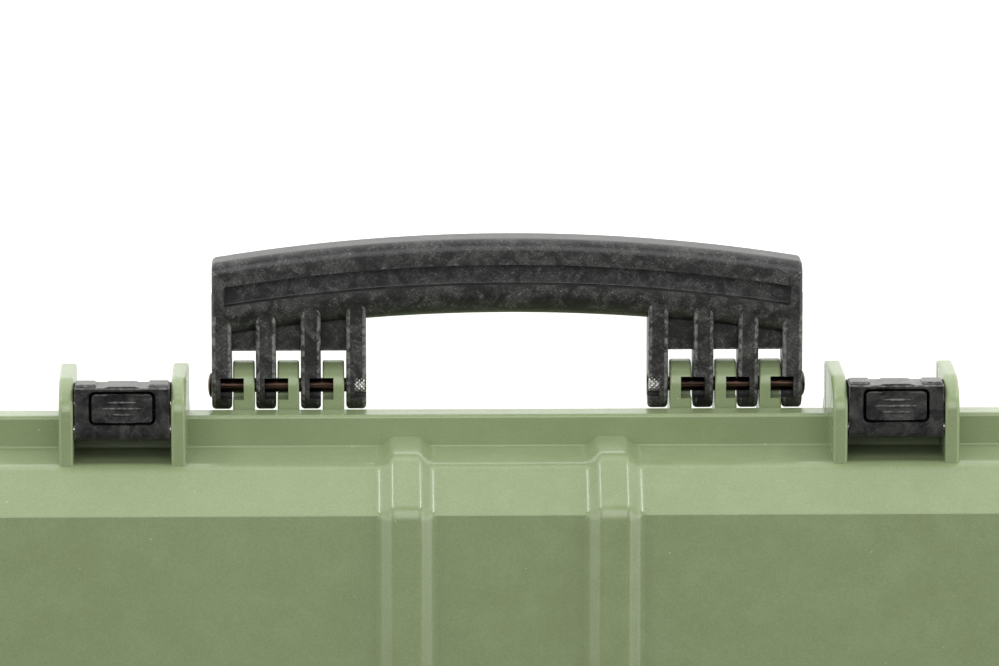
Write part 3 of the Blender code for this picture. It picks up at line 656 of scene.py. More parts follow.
def padlockTabs(onLid):
    cfg = tabSize
    half, slope = cfg["width"] / 2, 6.0
    inside = -(shellSize["halfY"] - 3.0)
    out = -cfg["out"]
    outline = [(-half - slope, inside), (half + slope, inside), (half, out + 4), (half - 4, out),
               (-half + 4, out), (-half, out + 4)]
    outline = closedPath(outline, [0, 0, 3, 3, 3, 3], 4)
    part = shellSize["partZ"]
    span = (part + 0.2, part + 12.5) if onLid else (part - 9.5, part - 0.2)
    tab = softenEdges(solid("tab", prismZ(outline, *span)), 0.9, 3, 50.0)
    return placeCopies("padlockTabs", tab, cfg["places"])


def lockHoles(low, high):
    radius = tabSize["holeRadius"]
    hole = solid("hole", turnedZ([(low, radius), (high, radius)], 0, tabSize["holeY"]))
    return placeCopies("lockHoles", hole, tabSize["places"])


hingeSize = {"places": (-400.0, 0.0, 400.0), "y": 217.5, "z": 125.0, "barrel": 6.5, "bore": 2.6,
             "pinRadius": 2.5, "lidHalf": 17.0, "baseWidth": 16.0, "gap": 0.4}


def hingeKnuckles(onLid):
    cfg = hingeSize
    sign = 1.0 if onLid else -1.0
    inside = shellSize["halfY"] - 4.0
    innerZ = cfg["z"] + sign * 0.2
    armZ = cfg["z"] + sign * (shellSize["lidFlange"] if onLid else shellSize["baseFlange"])
    barrel = arcPoints((cfg["y"], cfg["z"]), cfg["barrel"], -150.0 * sign, 60.0 * sign, 20)
    profile = [(inside, innerZ), (cfg["y"] - cfg["barrel"] * 0.97, innerZ), *barrel[1:], (inside, armZ)]
    if onLid:
        half, places = cfg["lidHalf"], cfg["places"]
    else:
        half = cfg["baseWidth"] / 2
        near = cfg["lidHalf"] + cfg["gap"]
        places = [x + s * (near + half) for x in cfg["places"] for s in (-1, 1)]
    knuckle = softenEdges(solid("knuckle", prismX(profile, -half, half)), 0.5, 2, 40.0)
    return placeCopies("knuckles", knuckle, places)


def hingeBores(reach):
    cfg = hingeSize
    bore = solid("bore", turnedX([(-reach, cfg["bore"]), (reach, cfg["bore"])], cfg["y"], cfg["z"], 28))
    return placeCopies("hingeBores", bore, cfg["places"])


latchSize = {"pinY": -209.0, "pinZ": 161.0, "pinRadius": 1.5, "lugBore": 1.55, "leverBore": 1.56}


def lidHoles():
    reach = lugSize["gap"] / 2 + lugSize["thickness"] + 1
    bore = latchSize["lugBore"]
    pin = solid("hole", turnedX([(-reach, bore), (reach, bore)], latchSize["pinY"], latchSize["pinZ"], 24))
    return joined("lidHoles", [placeCopies("pinHoles", pin, lugSize["latches"]), lockHoles(110, 150),
                               hingeBores(hingeSize["lidHalf"] + 1)])


# Handle sizes are shared by the ears on the base and the bail itself

handleSize = {
    "pinY": -217.6, "pinZ": 114.0, "pinRadius": 2.75, "headRadius": 4.8, "headThick": 1.5,
    "legBore": 2.85, "earBore": 3.0,
    "legs": ((54.5, 62.6), (72.2, 80.1), (89.7, 97.4), (106.9, 114.4)),
    "ears": ((63.2, 71.6), (80.7, 89.1), (98.0, 106.3)),
    "legWide": 7.8, "legRadius": 9.3, "legHalf": 10.2, "legTop": 256.0, "earRadius": 9.7,
    "webHalf": 3.5, "webBottom": 231.5, "webTop": 254.0,
    "halfX": 114.4, "halfThick": 10.5, "topMid": 276.1, "topEnd": 266.8, "tall": 29.8, "band": 9.8,
    "grooveTall": 7.9, "grooveDepth": 5.5, "grooveHalf": 109.7, "windowHalf": 4.2,
}


def earsAndKeepers():
    cfg = handleSize
    inside = -(shellSize["halfY"] - shellSize["flangeOut"] - 4.0)
    nose = arcPoints((cfg["pinY"], cfg["pinZ"]), cfg["earRadius"], 90, 270, 20)
    low = cfg["pinZ"] - cfg["earRadius"] - 14
    profile = [(inside, cfg["pinZ"] + cfg["earRadius"]), *nose, (inside, low)]
    half = (cfg["ears"][0][1] - cfg["ears"][0][0]) / 2
    ear = softenEdges(solid("ear", prismX(profile, -half, half)), 0.9, 3, 50.0)
    ears = placeCopies("ears", ear, mirrored(middleOf(e) for e in cfg["ears"]))
    half = lugSize["gap"] / 2 + 1
    bar = softenEdges(solid("keeper", boxShape((-half, -208.4, 104), (half, -195, 111))), 0.8, 3)
    return joined("earsAndKeepers", [ears, placeCopies("keepers", bar, lugSize["latches"])])


def windowTools(spans, outward):
    # Square openings over the pin, on one half of each ear or leg
    cfg = handleSize
    tools = []
    for low, high in spans:
        a, b = (middleOf((low, high)), high + 0.2) if outward else (low - 0.2, low + 0.57 * (high - low))
        for x0, x1 in bothSides(a, b):
            tools.append(solid("window", boxShape((x0, cfg["pinY"] - cfg["windowHalf"], cfg["pinZ"]),
                                                  (x1, cfg["pinY"] + cfg["windowHalf"], cfg["pinZ"] + 15))))
    return joined("windows", tools)


def pinBores(spans, radius, extra):
    # One bore on each side, through all the ears or legs
    cfg = handleSize
    return [solid("bore", turnedX([(x0, radius), (x1, radius)], cfg["pinY"], cfg["pinZ"]))
            for x0, x1 in bothSides(spans[0][0] - extra, spans[-1][1] + extra)]


def baseRibPath(side):
    # The ribs sink into the wall as they run down, and end above the foot
    cfg = shellSize
    under = cfg["partZ"] - cfg["baseFlange"]
    wall = cfg["halfY"] - cfg["flangeOut"] - 1
    lowZ = 44.0
    low = wall - cfg["baseDraft"] * (under - lowZ) / (under - cfg["footChamfer"])
    path = [(side * (low - 1.8), lowZ), (side * (wall - 0.6), under + 1)]
    return path[::-1] if side < 0 else path


def buildBase():
    base = solid("base", loft([shellRing(a, z) for a, z in baseSection()]))
    ribs = [placeCopies("baseRibs", solid("rib", sweepRib(baseRibPath(side))), mirrored(ribSize["places"]))
            for side in (-1, 1)]
    valve = valveSize["x"], valveSize["z"]
    boss = solid("boss", turnedY([(-199, 16), (-198.4, 17), (-191, 17)], *valve))
    combine(base, joined("ribsAndBoss", [*ribs, boss]))
    for part in (baseLugs(), padlockTabs(False), hingeKnuckles(False), earsAndKeepers()):
        combine(base, part)
    ears = handleSize["ears"]
    tools = [hingeBores(hingeSize["lidHalf"] + hingeSize["baseWidth"] + 2),
             *pinBores(ears, handleSize["earBore"], 0.5), lockHoles(100, 130),
             solid("stemHole", turnedY([(-210, 8.1), (-180, 8.1)], *valve))]
    combine(base, joined("baseHoles", tools), "DIFFERENCE")
    combine(base, windowTools(ears, True), "DIFFERENCE")
    return finishPiece(base, "baseMoulding", olive, "base", ["base_shell"], wearAndSheenWidth=0.3)


def gripFall(x):
    cfg = handleSize
    return (cfg["topMid"] - cfg["topEnd"]) * (x / cfg["halfX"]) ** 2


def gripSection():
    # Side view of the grip: softly rounded top, half-round underside
    cfg = handleSize
    t = cfg["halfThick"]
    top, low = cfg["topMid"], cfg["topMid"] - cfg["tall"]
    points = [(-top, -t), (-top, t), (-low, t), (-low, -t)]
    return closedPath(points, [4.6, 4.6, 9.2, 9.2], 8)


def buildHandle():
    cfg = handleSize
    section = gripSection()
    pinZ = cfg["pinZ"]
    xs = [cfg["halfX"] * (2 * i / 48 - 1) for i in range(49)]
    grip = solid("grip", loft([[(x, y + gripFall(x), pinZ + z) for y, z in section] for x in xs]))
    softenEdges(grip, 1.6, 4, 50.0)
    end = arcPoints((cfg["pinY"], pinZ), cfg["legRadius"], -90, 90, 16)
    profile = [(-cfg["legTop"], pinZ - cfg["legHalf"]), *end, (-cfg["legTop"], pinZ + cfg["legHalf"])]
    half = cfg["legWide"] / 2
    leg = softenEdges(solid("leg", prismX(profile, -half, half)), 1.5, 4, 50.0)
    webs = [softenEdges(solid("web", boxShape((x0, -cfg["webTop"], pinZ - cfg["webHalf"]),
                                              (x1, -cfg["webBottom"], pinZ + cfg["webHalf"]))), 0.8, 2)
            for x0, x1 in bothSides(cfg["legs"][0][0] + 1.5, cfg["legs"][-1][1] - 1.5)]
    combine(grip, joined("webs", webs))
    combine(grip, placeCopies("legs", leg, mirrored(middleOf(e) for e in cfg["legs"]), nylon))
    floor = cfg["halfThick"] - cfg["grooveDepth"]
    grooves = []
    for z0, z1 in ((pinZ + floor, pinZ + 20), (pinZ - 20, pinZ - floor)):
        rings = []
        for i in range(41):
            x = cfg["grooveHalf"] * (2 * i / 40 - 1)
            a = -(cfg["topMid"] - gripFall(x) - cfg["band"])
            b = a + cfg["grooveTall"]
            rings.append([(x, a, z0), (x, b, z0), (x, b, z1), (x, a, z1)])
        grooves.append(softenEdges(solid("groove", loft(rings)), 0.5, 3, 50.0))
    combine(grip, joined("grooves", grooves), "DIFFERENCE")
    combine(grip, joined("bores", pinBores(cfg["legs"], cfg["legBore"], 1)), "DIFFERENCE")
    combine(grip, windowTools(cfg["legs"], False), "DIFFERENCE")
    return finishPiece(grip, "handleBail", nylon, "handle", ["handle_bail"], wearAndSheenWidth=0.62)


# Handle pins: the knurled end follows a crossed-thread rule

def makeKnurlTree():
    tree, given = newTree("knurledRod", {"Radius": 0.0027, "Length": 0.006, "Depth": 0.00025, "Starts": 14.0})
    rod = addNode(tree, "GeometryNodeMeshCylinder",
                  {"Vertices": 112, "Side Segments": 60, "Radius": given["Radius"], "Depth": given["Length"]})
    spot = addNode(tree, "SeparateXYZ", {0: addNode(tree, "GeometryNodeInputPosition")}).outputs
    angle = addNode(tree, "Math", {0: spot["Y"], 1: spot["X"]}, operation="ARCTAN2")
    turns = addNode(tree, "Math", {0: angle, 1: given["Starts"]}, operation="MULTIPLY")
    climb = addNode(tree, "Math", {0: spot["Z"], 1: given["Radius"]}, operation="DIVIDE")
    climb = addNode(tree, "Math", {0: climb, 1: given["Starts"]}, operation="MULTIPLY")
    ridges = []
    for operation in ("ADD", "SUBTRACT"):
        phase = addNode(tree, "Math", {0: turns, 1: climb}, operation=operation)
        wave = addNode(tree, "Math", {0: phase}, operation="SINE")
        ridges.append(addNode(tree, "Math", {0: wave, 1: 0.5, 2: 0.5}, operation="MULTIPLY_ADD"))
    height = addNode(tree, "Math", {0: ridges[0], 1: ridges[1]}, operation="MINIMUM")
    height = addNode(tree, "Math", {0: height, 1: given["Depth"]}, operation="MULTIPLY")
    radial = addNode(tree, "CombineXYZ", {"X": spot["X"], "Y": spot["Y"]})
    unit = addNode(tree, "VectorMath", {0: radial}, operation="NORMALIZE")
    move = addNode(tree, "VectorMath", {0: unit, "Scale": height}, operation="SCALE")
    return closeTree(tree, given, addNode(tree, "GeometryNodeSetPosition", {"Geometry": rod, "Offset": move}))


def buildHandlePins():
    cfg = handleSize
    knurlTree = makeKnurlTree()
    for side, number in ((-1, 1), (1, 2)):
        start, face = cfg["legs"][0][0] + 0.8, cfg["legs"][-1][1] + 0.3
        r = cfg["pinRadius"]
        head, thick = cfg["headRadius"], cfg["headThick"]
        profile = [(start + 6.4, r - 0.3), (start + 6.8, r), (face, r), (face, head - 0.3),
                   (face + 0.15, head)]
        for i in range(1, 9):
            t = i / 8 * math.pi / 2
            profile.append((face + 0.15 + (thick - 0.15) * math.sin(t), max(head * math.cos(t), 0.3)))
        shape = turnedX([(side * x, rr) for x, rr in profile], cfg["pinY"], cfg["pinZ"], 40)
        finishPiece(solid("pin", shape), f"handlePin{number}", blackSteel, "handle",
                    [f"handle_pin_{number}"], wearAndSheenWidth=0.0)
        end = runTree("knurl", knurlTree, {"Radius": (r - 0.14) * mm, "Length": 6.4 * mm, "Depth": 0.42 * mm,
                                           "Starts": 9.0, "Finish": brightSteel})
        end.data.transform(Matrix.Translation((side * (start + 3.2) * mm, cfg["pinY"] * mm, cfg["pinZ"] * mm))
                           @ Matrix.Rotation(math.pi / 2, 4, "Y"))
        finishPiece(end, f"knurledEnd{number}", knurledSteel, "handle", wearAndSheenWidth=0.0)


# Latches

leverSize = {
    "width": 36.3, "top": 165.0, "out": 225.8, "barrel": 3.9, "blockBottom": 147.0,
    "bend": (225.8, 151.0), "belly": (220.6, 125.0), "tip": (215.0, 92.0), "plate": 4.6,
    "pocketWidth": 25.2, "pocketTall": 12.7, "pocketFloor": 151.0, "noseOut": 209.0, "noseZ": (101.5, 103.5),
}
buttonSize = {
    "y": -217.8, "width": 23.3, "tall": 11.2, "top": 165.0, "bottom": 158.0, "corner": 1.6,
    "dishRadius": 8.6, "dishDepth": 0.8, "bars": 3, "pitch": 2.35, "longBar": 16.6, "shortBar": 11.2,
    "barHeight": 1.15, "barWidth": 1.0,
}


def leverOutline():
    cfg = leverSize
    plate = cfg["plate"]
    barrel = []
    for i in range(17):  # a squared-off heel round the pin
        angle = math.radians(-90 + 180 * i / 16)
        a, b = math.cos(angle), math.sin(angle)
        barrel.append((latchSize["pinY"] + cfg["barrel"] * abs(a) ** 0.5,
                       latchSize["pinZ"] + math.copysign((cfg["barrel"] + 0.1) * abs(b) ** 0.5, b)))
    (bendY, bendZ), (bellyY, bellyZ), (tipY, tipZ) = cfg["bend"], cfg["belly"], cfg["tip"]
    noseLow, noseHigh = cfg["noseZ"]

    def inner(z):
        return -(tipY + (bellyY - tipY) * (z - tipZ) / (bellyZ - tipZ) - plate)

    rest = [(-cfg["out"], cfg["top"]), (-bendY, bendZ), (-bellyY, bellyZ), (-tipY, tipZ),
            (inner(tipZ), tipZ), (inner(noseLow), noseLow), (-cfg["noseOut"], noseLow),
            (-cfg["noseOut"], noseHigh), (inner(noseHigh + 2), noseHigh + 2), (inner(bellyZ), bellyZ),
            (-(bendY - plate - 1.6), 144),
            (-(bendY - plate - 2.0), cfg["blockBottom"]), (latchSize["pinY"] - 1, cfg["blockBottom"])]
    radii = [0.6, 2.0, 6, 1.6, 1.2, 0.4, 0.5, 0.4, 0.3, 4, 1, 1, 1]
    wrapped = roundPath([barrel[-1], *rest, barrel[0]], [0, *radii, 0], 5)
    return barrel[:-1] + wrapped[:-1]


def topRidges():
    # Two raised blocks with clipped corners and a low crown between them, across the outer face
    cfg = leverSize
    face = -cfg["out"]
    out = []
    for side in (-1, 1):
        outline = [(side * 10.0, 152.2), (side * 17.9, 152.2), (side * 17.9, 162.6), (side * 11.2, 162.6),
                   (side * 10.0, 161.4)]
        rings = []
        for grow, y in ((0.0, face + 0.6), (0.0, face - 0.5), (-0.5, face - 0.95)):
            centre = (side * 13.9, 157.4)
            rings.append([(x + (grow if x > centre[0] else -grow), y, z + (grow if z > centre[1] else -grow))
                          for x, z in outline])
        out.append(softenEdges(solid("block", loft(rings)), 0.4, 3))
    w0, w1, rise = 7.2, 4.9, 0.6
    profile = [(-w0, face + 0.6), (-w0, face), (-w1, face - rise), (w1, face - rise), (w0, face),
               (w0, face + 0.6)]
    shape = loft([[(x, y, 152) for x, y in profile], [(x, y, cfg["top"] - 0.3) for x, y in profile]])
    out.append(softenEdges(solid("crown", shape), 0.2, 2))
    return joined("ridges", out)


def roundedRect(width, tall, y, corner, steps=5):
    x, low, high = width / 2, y - tall / 2, y + tall / 2
    return closedPath([(x, low), (x, high), (-x, high), (-x, low)], [corner] * 4, steps)


def buildLever():
    cfg = leverSize
    half = cfg["width"] / 2
    lever = softenEdges(solid("lever", prismX(leverOutline(), -half, half)), 0.45, 3, 50.0)
    combine(lever, topRidges())
    growth = ((cfg["pocketFloor"], 0), (164.3, 0), (164.6, 0.12), (165.02, 0.8), (170, 0.8))
    pocket = [[(x, y, z) for x, y in roundedRect(cfg["pocketWidth"] + grow, cfg["pocketTall"] + grow,
                                                 buttonSize["y"], 2.0 + grow / 2)] for z, grow in growth]
    pocket = solid("pocket", loft(pocket))
    hole = [(-half - 1, latchSize["leverBore"]), (half + 1, latchSize["leverBore"])]
    bore = solid("bore", turnedX(hole, latchSize["pinY"], latchSize["pinZ"], 28))
    combine(lever, joined("leverHoles", [pocket, bore]), "DIFFERENCE")
    return lever


def makeBarTree():
    # A row of rounded grip bars; the middle one is longer
    tree, given = newTree("gripBars", {"Count": 3, "Pitch": 0.0023, "Long": 0.0148, "Short": 0.0099,
                                       "Width": 0.001, "Height": 0.001})
    bar = addNode(tree, "GeometryNodeMeshUVSphere", {"Segments": 20, "Rings": 12, "Radius": 0.5})
    spread = addNode(tree, "Math", {0: given["Count"], 1: 1.0}, operation="SUBTRACT")
    spread = addNode(tree, "Math", {0: spread, 1: -0.5}, operation="MULTIPLY")
    first = addNode(tree, "Math", {0: spread, 1: given["Pitch"]}, operation="MULTIPLY")
    start = addNode(tree, "CombineXYZ", {"Y": first})
    step = addNode(tree, "CombineXYZ", {"Y": given["Pitch"]})
    row = addNode(tree, "GeometryNodeMeshLine",
                  {"Count": given["Count"], "Start Location": start, "Offset": step}, mode="OFFSET")
    away = addNode(tree, "Math", {0: addNode(tree, "GeometryNodeInputIndex"), 1: spread}, operation="ADD")
    away = addNode(tree, "Math", {0: away}, operation="ABSOLUTE")
    drop = addNode(tree, "Math", {0: given["Long"], 1: given["Short"]}, operation="SUBTRACT")
    drop = addNode(tree, "Math", {0: drop, 1: away}, operation="MULTIPLY")
    long = addNode(tree, "Math", {0: given["Long"], 1: drop}, operation="SUBTRACT")
    size = addNode(tree, "CombineXYZ", {"X": long, "Y": given["Width"], "Z": given["Height"]})
    return closeTree(tree, given,
                     addNode(tree, "GeometryNodeInstanceOnPoints",
                             {"Points": row, "Instance": bar, "Scale": size}))


def buildButton():
    cfg = buttonSize
    top = cfg["top"]
    rings = [[(x, y, z) for x, y in roundedRect(cfg["width"] - 2 * inset, cfg["tall"] - 2 * inset, cfg["y"],
                                                max(cfg["corner"] - inset, 0.5))]
             for inset, z in ((0, cfg["bottom"]), (0, top - 0.5), (0.15, top - 0.15), (0.5, top))]
    button = solid("button", loft(rings))
    curve = (cfg["dishRadius"] ** 2 + cfg["dishDepth"] ** 2) / (2 * cfg["dishDepth"])
    profile = []
    for i in range(11):
        r = cfg["dishRadius"] * 1.15 * i / 10
        profile.append((cfg["top"] - cfg["dishDepth"] + curve - math.sqrt(curve ** 2 - r ** 2), max(r, 0.05)))
    profile.append((cfg["top"] + 3, profile[-1][1]))
    dish = solid("dish", turnedZ(profile, 0, cfg["y"], 56))
    combine(button, dish, "DIFFERENCE")
    bars = runTree("bars", makeBarTree(),
                   {"Count": cfg["bars"], "Pitch": cfg["pitch"] * mm, "Long": cfg["longBar"] * mm,
                    "Short": cfg["shortBar"] * mm, "Width": cfg["barWidth"] * mm,
                    "Height": cfg["barHeight"] * 1.6 * mm, "Finish": latchNylon})
    bars.data.transform(Matrix.Translation((0, cfg["y"] * mm, (cfg["top"] - 0.35) * mm)))
    combine(button, bars)
    return button


def copyAt(source, name, x):
    obj = newObject(name, source.data.copy())
    obj.data.transform(Matrix.Translation((x * mm, 0, 0)))
    return obj


def chamferedPin(x, reach, radius, chamfer, y, z, steps):
    profile = [(x - reach, radius - chamfer), (x - reach + chamfer, radius), (x + reach - chamfer, radius),
               (x + reach, radius - chamfer)]
    return solid("pin", turnedX(profile, y, z, steps))


def buildLatches():
    lever, button = buildLever(), buildButton()
    reach = lugSize["gap"] / 2 + lugSize["thickness"] - 0.4
    for number, x in enumerate(lugSize["latches"], start=1):
        finishPiece(copyAt(lever, "lever", x), f"latchLever{number}", latchNylon, f"latch_{number}",
                    [f"latch_lever_{number}"], wearAndSheenWidth=0.3)
        finishPiece(copyAt(button, "button", x), f"latchButton{number}", latchNylon, f"button_{number}",
                    [f"latch_button_{number}"], wearAndSheenWidth=0.3)
        pin = chamferedPin(x, reach, latchSize["pinRadius"], 0.3, latchSize["pinY"], latchSize["pinZ"], 28)
        finishPiece(pin, f"latchPin{number}", brightSteel, "lid", [f"latch_pin_{number}"],
                    wearAndSheenWidth=0.0)
    dropObject(lever)
    dropObject(button)


# Springs, gasket, foam, hinge pins and valve

def makeCoilTree():
    tree, given = newTree("coilSpring", {"Turns": 4.0, "Radius": 0.0032, "Height": 0.006, "Wire": 0.0004})
    coil = addNode(tree, "GeometryNodeCurveSpiral",
                   {"Resolution": 24, "Rotations": given["Turns"], "Start Radius": given["Radius"],
                    "End Radius": given["Radius"], "Height": given["Height"]})
    wire = addNode(tree, "GeometryNodeCurvePrimitiveCircle", {"Resolution": 8, "Radius": given["Wire"]})
    return closeTree(tree, given,
                     addNode(tree, "GeometryNodeCurveToMesh",
                             {"Curve": coil, "Profile Curve": wire, "Fill Caps": True}))


def buildSprings():
    coilTree = makeCoilTree()
    low = leverSize["pocketFloor"] + 0.7
    high = buttonSize["bottom"] - 0.7
    for number, x in enumerate(lugSize["latches"], start=1):
        coil = runTree("coil", coilTree, {"Turns": 4.0, "Radius": 3.2 * mm, "Height": (high - low) * mm,
                                          "Wire": 0.4 * mm, "Finish": brightSteel})
        coil.data.transform(Matrix.Translation((x * mm, buttonSize["y"] * mm, low * mm)))
        coil = finishPiece(coil, f"latchSpring{number}", brightSteel, f"latch_{number}",
                           [f"latch_spring_{number}"], wearAndSheenWidth=0.0)
        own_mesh(coil)


def buildGasket():
    rim = shellSize["partZ"]
    points = [(6.4, rim), (6.4, rim + 4.8), (9.6, rim + 4.8), (9.6, rim)]
    section = closedPath(points, [1.3, 0.4, 0.4, 1.3], 4)
    gasket = solid("gasket", loft([shellRing(a, z) for a, z in section], closed=True))
    finishPiece(gasket, "rimGasket", gasketRubber, "lid", ["gasket"], wearAndSheenWidth=0.0)


foamSize = {
    "clear": 1.5, "baseTop": 64.0, "seam": 44.0, "lidBottom": 146.0, "peakPitch": 44.0, "peakTall": 11.0,
    "rimFade": 12.0, "rimInset": 9.0, "backInset": 24.0,
}


def makeEggTree():
    # Egg-crate sheet: a fine grid whose height follows two crossed waves
    tree, given = newTree("eggCrate", {"LengthX": 1.0, "LengthY": 0.3, "Pitch": 0.044, "Tall": 0.011})
    grid = addNode(tree, "GeometryNodeMeshGrid",
                   {"Size X": given["LengthX"], "Size Y": given["LengthY"], "Vertices X": 209,
                    "Vertices Y": 71})
    spot = addNode(tree, "SeparateXYZ", {0: addNode(tree, "GeometryNodeInputPosition")}).outputs
    waves = []
    for axis in "XY":
        phase = addNode(tree, "Math", {0: spot[axis], 1: given["Pitch"]}, operation="DIVIDE")
        phase = addNode(tree, "Math", {0: phase, 1: 2 * math.pi}, operation="MULTIPLY")
        waves.append(addNode(tree, "Math", {0: phase}, operation="COSINE"))
    both = addNode(tree, "Math", {0: waves[0], 1: waves[1]}, operation="ADD")
    shape = addNode(tree, "Math", {0: both, 1: 0.25, 2: 0.5}, operation="MULTIPLY_ADD")
    high = addNode(tree, "Math", {0: shape, 1: given["Tall"]}, operation="MULTIPLY")
    move = addNode(tree, "CombineXYZ", {"Z": high})
    return closeTree(tree, given,
                     addNode(tree, "GeometryNodeSetPosition", {"Geometry": grid, "Offset": move}))


def buildFoam():
    cfg = foamSize
    foot = shellSize["flangeOut"] + 1 + shellSize["baseDraft"]
    deep = foot + shellSize["footChamfer"] + 2.2 + cfg["clear"]
    side = foot + 4 + cfg["clear"]
    bend = shellSize["footChamfer"] + 2
    lean = (shellSize["baseDraft"] + 1) / (shellSize["partZ"] - bend)
    seam = cfg["seam"]  # the base pad is two sheets, and the joint shows as a fine groove

    def wallAt(z):
        return side - lean * (z - bend)

    topZ = cfg["baseTop"]
    points = [(deep + 3, 4.6), (deep, 4.6), (side, bend + 0.8), (wallAt(seam - 0.8), seam - 0.8),
              (wallAt(seam) + 1.0, seam), (wallAt(seam + 0.8), seam + 0.8), (wallAt(topZ), topZ - 1.2),
              (wallAt(topZ) + 3.8, topZ - 0.2), (wallAt(topZ) + 28, topZ)]
    section = roundPath(points, [0, 2, 4, 0.5, 0.3, 0.5, 3, 8, 0], 4)
    pad = solid("pad", loft([shellRing(a, z) for a, z in section]))
    finishPiece(pad, "basePad", charcoalFoam, "base", ["base_foam"], wearAndSheenWidth=0.0)
    # lid pad: flat back against the lid, egg-crate face down, faded out at its rim
    upper = shellSize["flangeOut"] + shellSize["lidDraft"]
    inset = upper + 4 + cfg["clear"] + cfg["rimInset"]
    rootZ = cfg["lidBottom"] + cfg["peakTall"]
    backZ = lidHeights()[2] - 4.4
    halfX, halfY = shellSize["halfX"] - inset, shellSize["halfY"] - inset
    sheet = runTree("egg", makeEggTree(), {"LengthX": 2 * halfX * mm, "LengthY": 2 * halfY * mm,
                                           "Pitch": cfg["peakPitch"] * mm,
                                           "Tall": (cfg["peakTall"] - 0.6) * mm, "Finish": charcoalFoam})
    backInset = upper + cfg["backInset"]
    with editing(sheet.data) as work:
        for vert in work.verts:
            rimX = (halfX * mm - abs(vert.co.x)) / (cfg["rimFade"] * mm)
            rimY = (halfY * mm - abs(vert.co.y)) / (cfg["rimFade"] * mm)
            vert.co.z = rootZ * mm - vert.co.z * max(0.0, min(1.0, rimX, rimY))
        edge = [e for e in work.edges if e.is_boundary]
        for z, scaleX, scaleY in ((rootZ + 4.0, 1.0, 1.0),
                                  (backZ, (shellSize["halfX"] - backInset) / halfX,
                                   (shellSize["halfY"] - backInset) / halfY)):
            made = bmesh.ops.extrude_edge_only(work, edges=edge)["geom"]
            for vert in (g for g in made if isinstance(g, bmesh.types.BMVert)):
                vert.co = (vert.co.x * scaleX, vert.co.y * scaleY, z * mm)
            edge = [g for g in made if isinstance(g, bmesh.types.BMEdge) and g.is_boundary]
        bmesh.ops.contextual_create(work, geom=edge)
        bmesh.ops.recalc_face_normals(work, faces=work.faces)
    finishPiece(sheet, "lidPad", charcoalFoam, "lid", ["lid_foam"], sharp=50.0,
                          wearAndSheenWidth=0.0)


def buildHingePins():
    cfg = hingeSize
    reach = cfg["lidHalf"] + cfg["gap"] + cfg["baseWidth"] - 0.5
    for number, x in enumerate(cfg["places"], start=1):
        pin = chamferedPin(x, reach, cfg["pinRadius"], 0.4, cfg["y"], cfg["z"], 32)
        finishPiece(pin, f"hingePin{number}", brightSteel, "base", [f"hinge_pin_{number}"],
                    wearAndSheenWidth=0.0)


valveSize = {"x": 386.0, "z": 62.0, "face": -199.3, "stem": 8.0, "flange": 14.0, "thick": 3.0, "cap": 9.5,
             "capThick": 2.5, "notches": 12}


def buildValve():
    cfg = valveSize
    face, flange = cfg["face"], cfg["flange"]
    outer = face - cfg["thick"]
    body = turnedY([(-193.2, cfg["stem"]), (face, cfg["stem"]), (face, flange - 0.3), (face - 0.3, flange),
                    (outer + 1.2, flange), (outer + 0.4, flange - 0.4), (outer, flange - 1.2)],
                   cfg["x"], cfg["z"], 56)
    finishPiece(solid("valve", body), "valveBody", nylon, "base", ["valve_body"],
                wearAndSheenWidth=0.6)
    start = outer - 0.3
    rings = []
    for y, scale in ((start, 1.0), (start - 1.6, 1.0), (start - 2.2, 0.965), (start - cfg["capThick"], 0.9)):
        ring = []
        for i in range(96):  # scalloped for the fingers
            angle = 2 * math.pi * i / 96
            r = cfg["cap"] * scale * (1 - 0.03 * (0.5 + 0.5 * math.cos(cfg["notches"] * angle)))
            ring.append((cfg["x"] + r * math.cos(angle), y, cfg["z"] + r * math.sin(angle)))
        rings.append(ring)
    finishPiece(solid("cap", loft(rings)), "valveCap", nylon, "base", ["valve_cap"],
                wearAndSheenWidth=0.6)


buildLid()
print("lid built")
buildBase()
print("base built")
buildHandle()
buildHandlePins()
print("handle built")
buildLatches()
buildSprings()
print("latches built")
buildGasket()
buildFoam()
buildHingePins()
buildValve()
print("small pieces built")


# Stage, light and camera

stageSize = {
    "floor": 9.0, "floorGlow": 0.5, "sky": 0.18,
    "lights": (  # name, place, aim, width, height, watts
        ("frontSoftbox", (0.1, -1.25, 1.98), (0.0, -0.15, 0.12), 2.4, 1.5, 34.5),
        ("overheadSoftbox", (0.0, -2.15, 0.4), (0.0, -0.2, 0.15), 2.2, 0.3, 4.5),
        ("leftSoftbox", (1.9, -0.5, 0.85), (0.0, -0.2, 0.15), 1.6, 1.1, 14.0),
        ("rightSoftbox", (-1.9, -0.5, 0.85), (0.0, -0.2, 0.15), 1.6, 1.1, 20.0),
        ("leftStrip", (1.15, -1.9, 0.28), (0.0, -0.2, 0.15), 0.16, 0.5, 7.0),
        ("rightStrip", (-1.15, -1.9, 0.28), (0.0, -0.2, 0.15), 0.16, 0.5, 7.0),
    ),
}


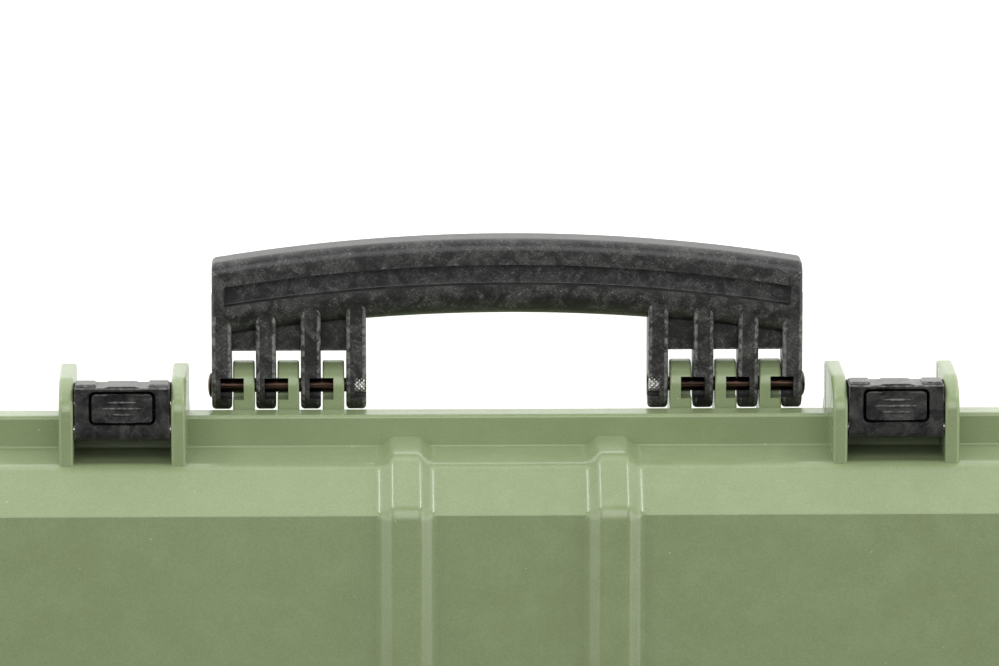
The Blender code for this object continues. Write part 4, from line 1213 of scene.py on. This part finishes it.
def makeStage():
    cfg = stageSize
    far, low = cfg["floor"] / mm, -0.2
    floor = solid("paleFloor", ([(-far, -far, low), (far, -far, low), (far, far, low), (-far, far, low)],
                                [(0, 1, 2, 3)]))
    material, tree, shader, place = newMaterial("matteWhiteSweep")
    tint = addNode(tree, "TexNoise", {"Vector": place, "Scale": 2.0, "Detail": 2.0})
    white = addNode(tree, "Mix", {0: tint, 6: hexToLinear("#f7f7f7"), 7: hexToLinear("#ffffff")}, **colourMix)
    setInputs(tree, shader, {"Base Color": white, "Roughness": 0.9, "Emission Color": (1.0, 1.0, 1.0, 1.0),
                             "Emission Strength": cfg["floorGlow"]})
    floor.data.materials.append(material)
    world = bpy.data.worlds.new("softSky")
    world.use_nodes = True
    sky = world.node_tree.nodes["Background"]
    setInputs(world.node_tree, sky, {"Color": (1.0, 1.0, 1.0, 1.0), "Strength": cfg["sky"]})
    bpy.context.scene.world = world
    for name, place, aim, width, height, watts in cfg["lights"]:
        data = bpy.data.lights.new(name, "AREA")
        data.shape = "RECTANGLE"
        data.size, data.size_y, data.energy = width, height, watts
        holder = newObject(name, data)
        holder.location = place
        holder.rotation_euler = (Vector(aim) - Vector(place)).to_track_quat("-Z", "Y").to_euler()
    bpy.context.scene.view_settings.view_transform = "Standard"


cameraSize = {"aim": (3.3, -241.8, 137.0), "distance": 3000.0, "elevation": 10.0, "side": 61.6, "lens": 280.4}


def makeCamera():
    cfg = cameraSize
    data = bpy.data.cameras.new("camera")
    data.sensor_width = 36.0
    data.lens = cfg["lens"]
    camera = newObject("camera", data)
    lean = math.radians(cfg["elevation"])
    aim = Vector(cfg["aim"])
    back = Vector((cfg["side"] / cfg["distance"], -math.sin(lean), math.cos(lean))).normalized()
    forward = -back
    right = forward.cross(Vector((0, -1, 0))).normalized()
    up = right.cross(forward)
    camera.matrix_world = Matrix.Translation((aim + back * cfg["distance"]) * mm) @ Matrix(
        (right, up, back)).transposed().to_4x4()
    data.clip_start, data.clip_end = 0.05, 40.0
    bpy.context.scene.camera = camera


makeStage()
makeCamera()
print("stage and camera ready")
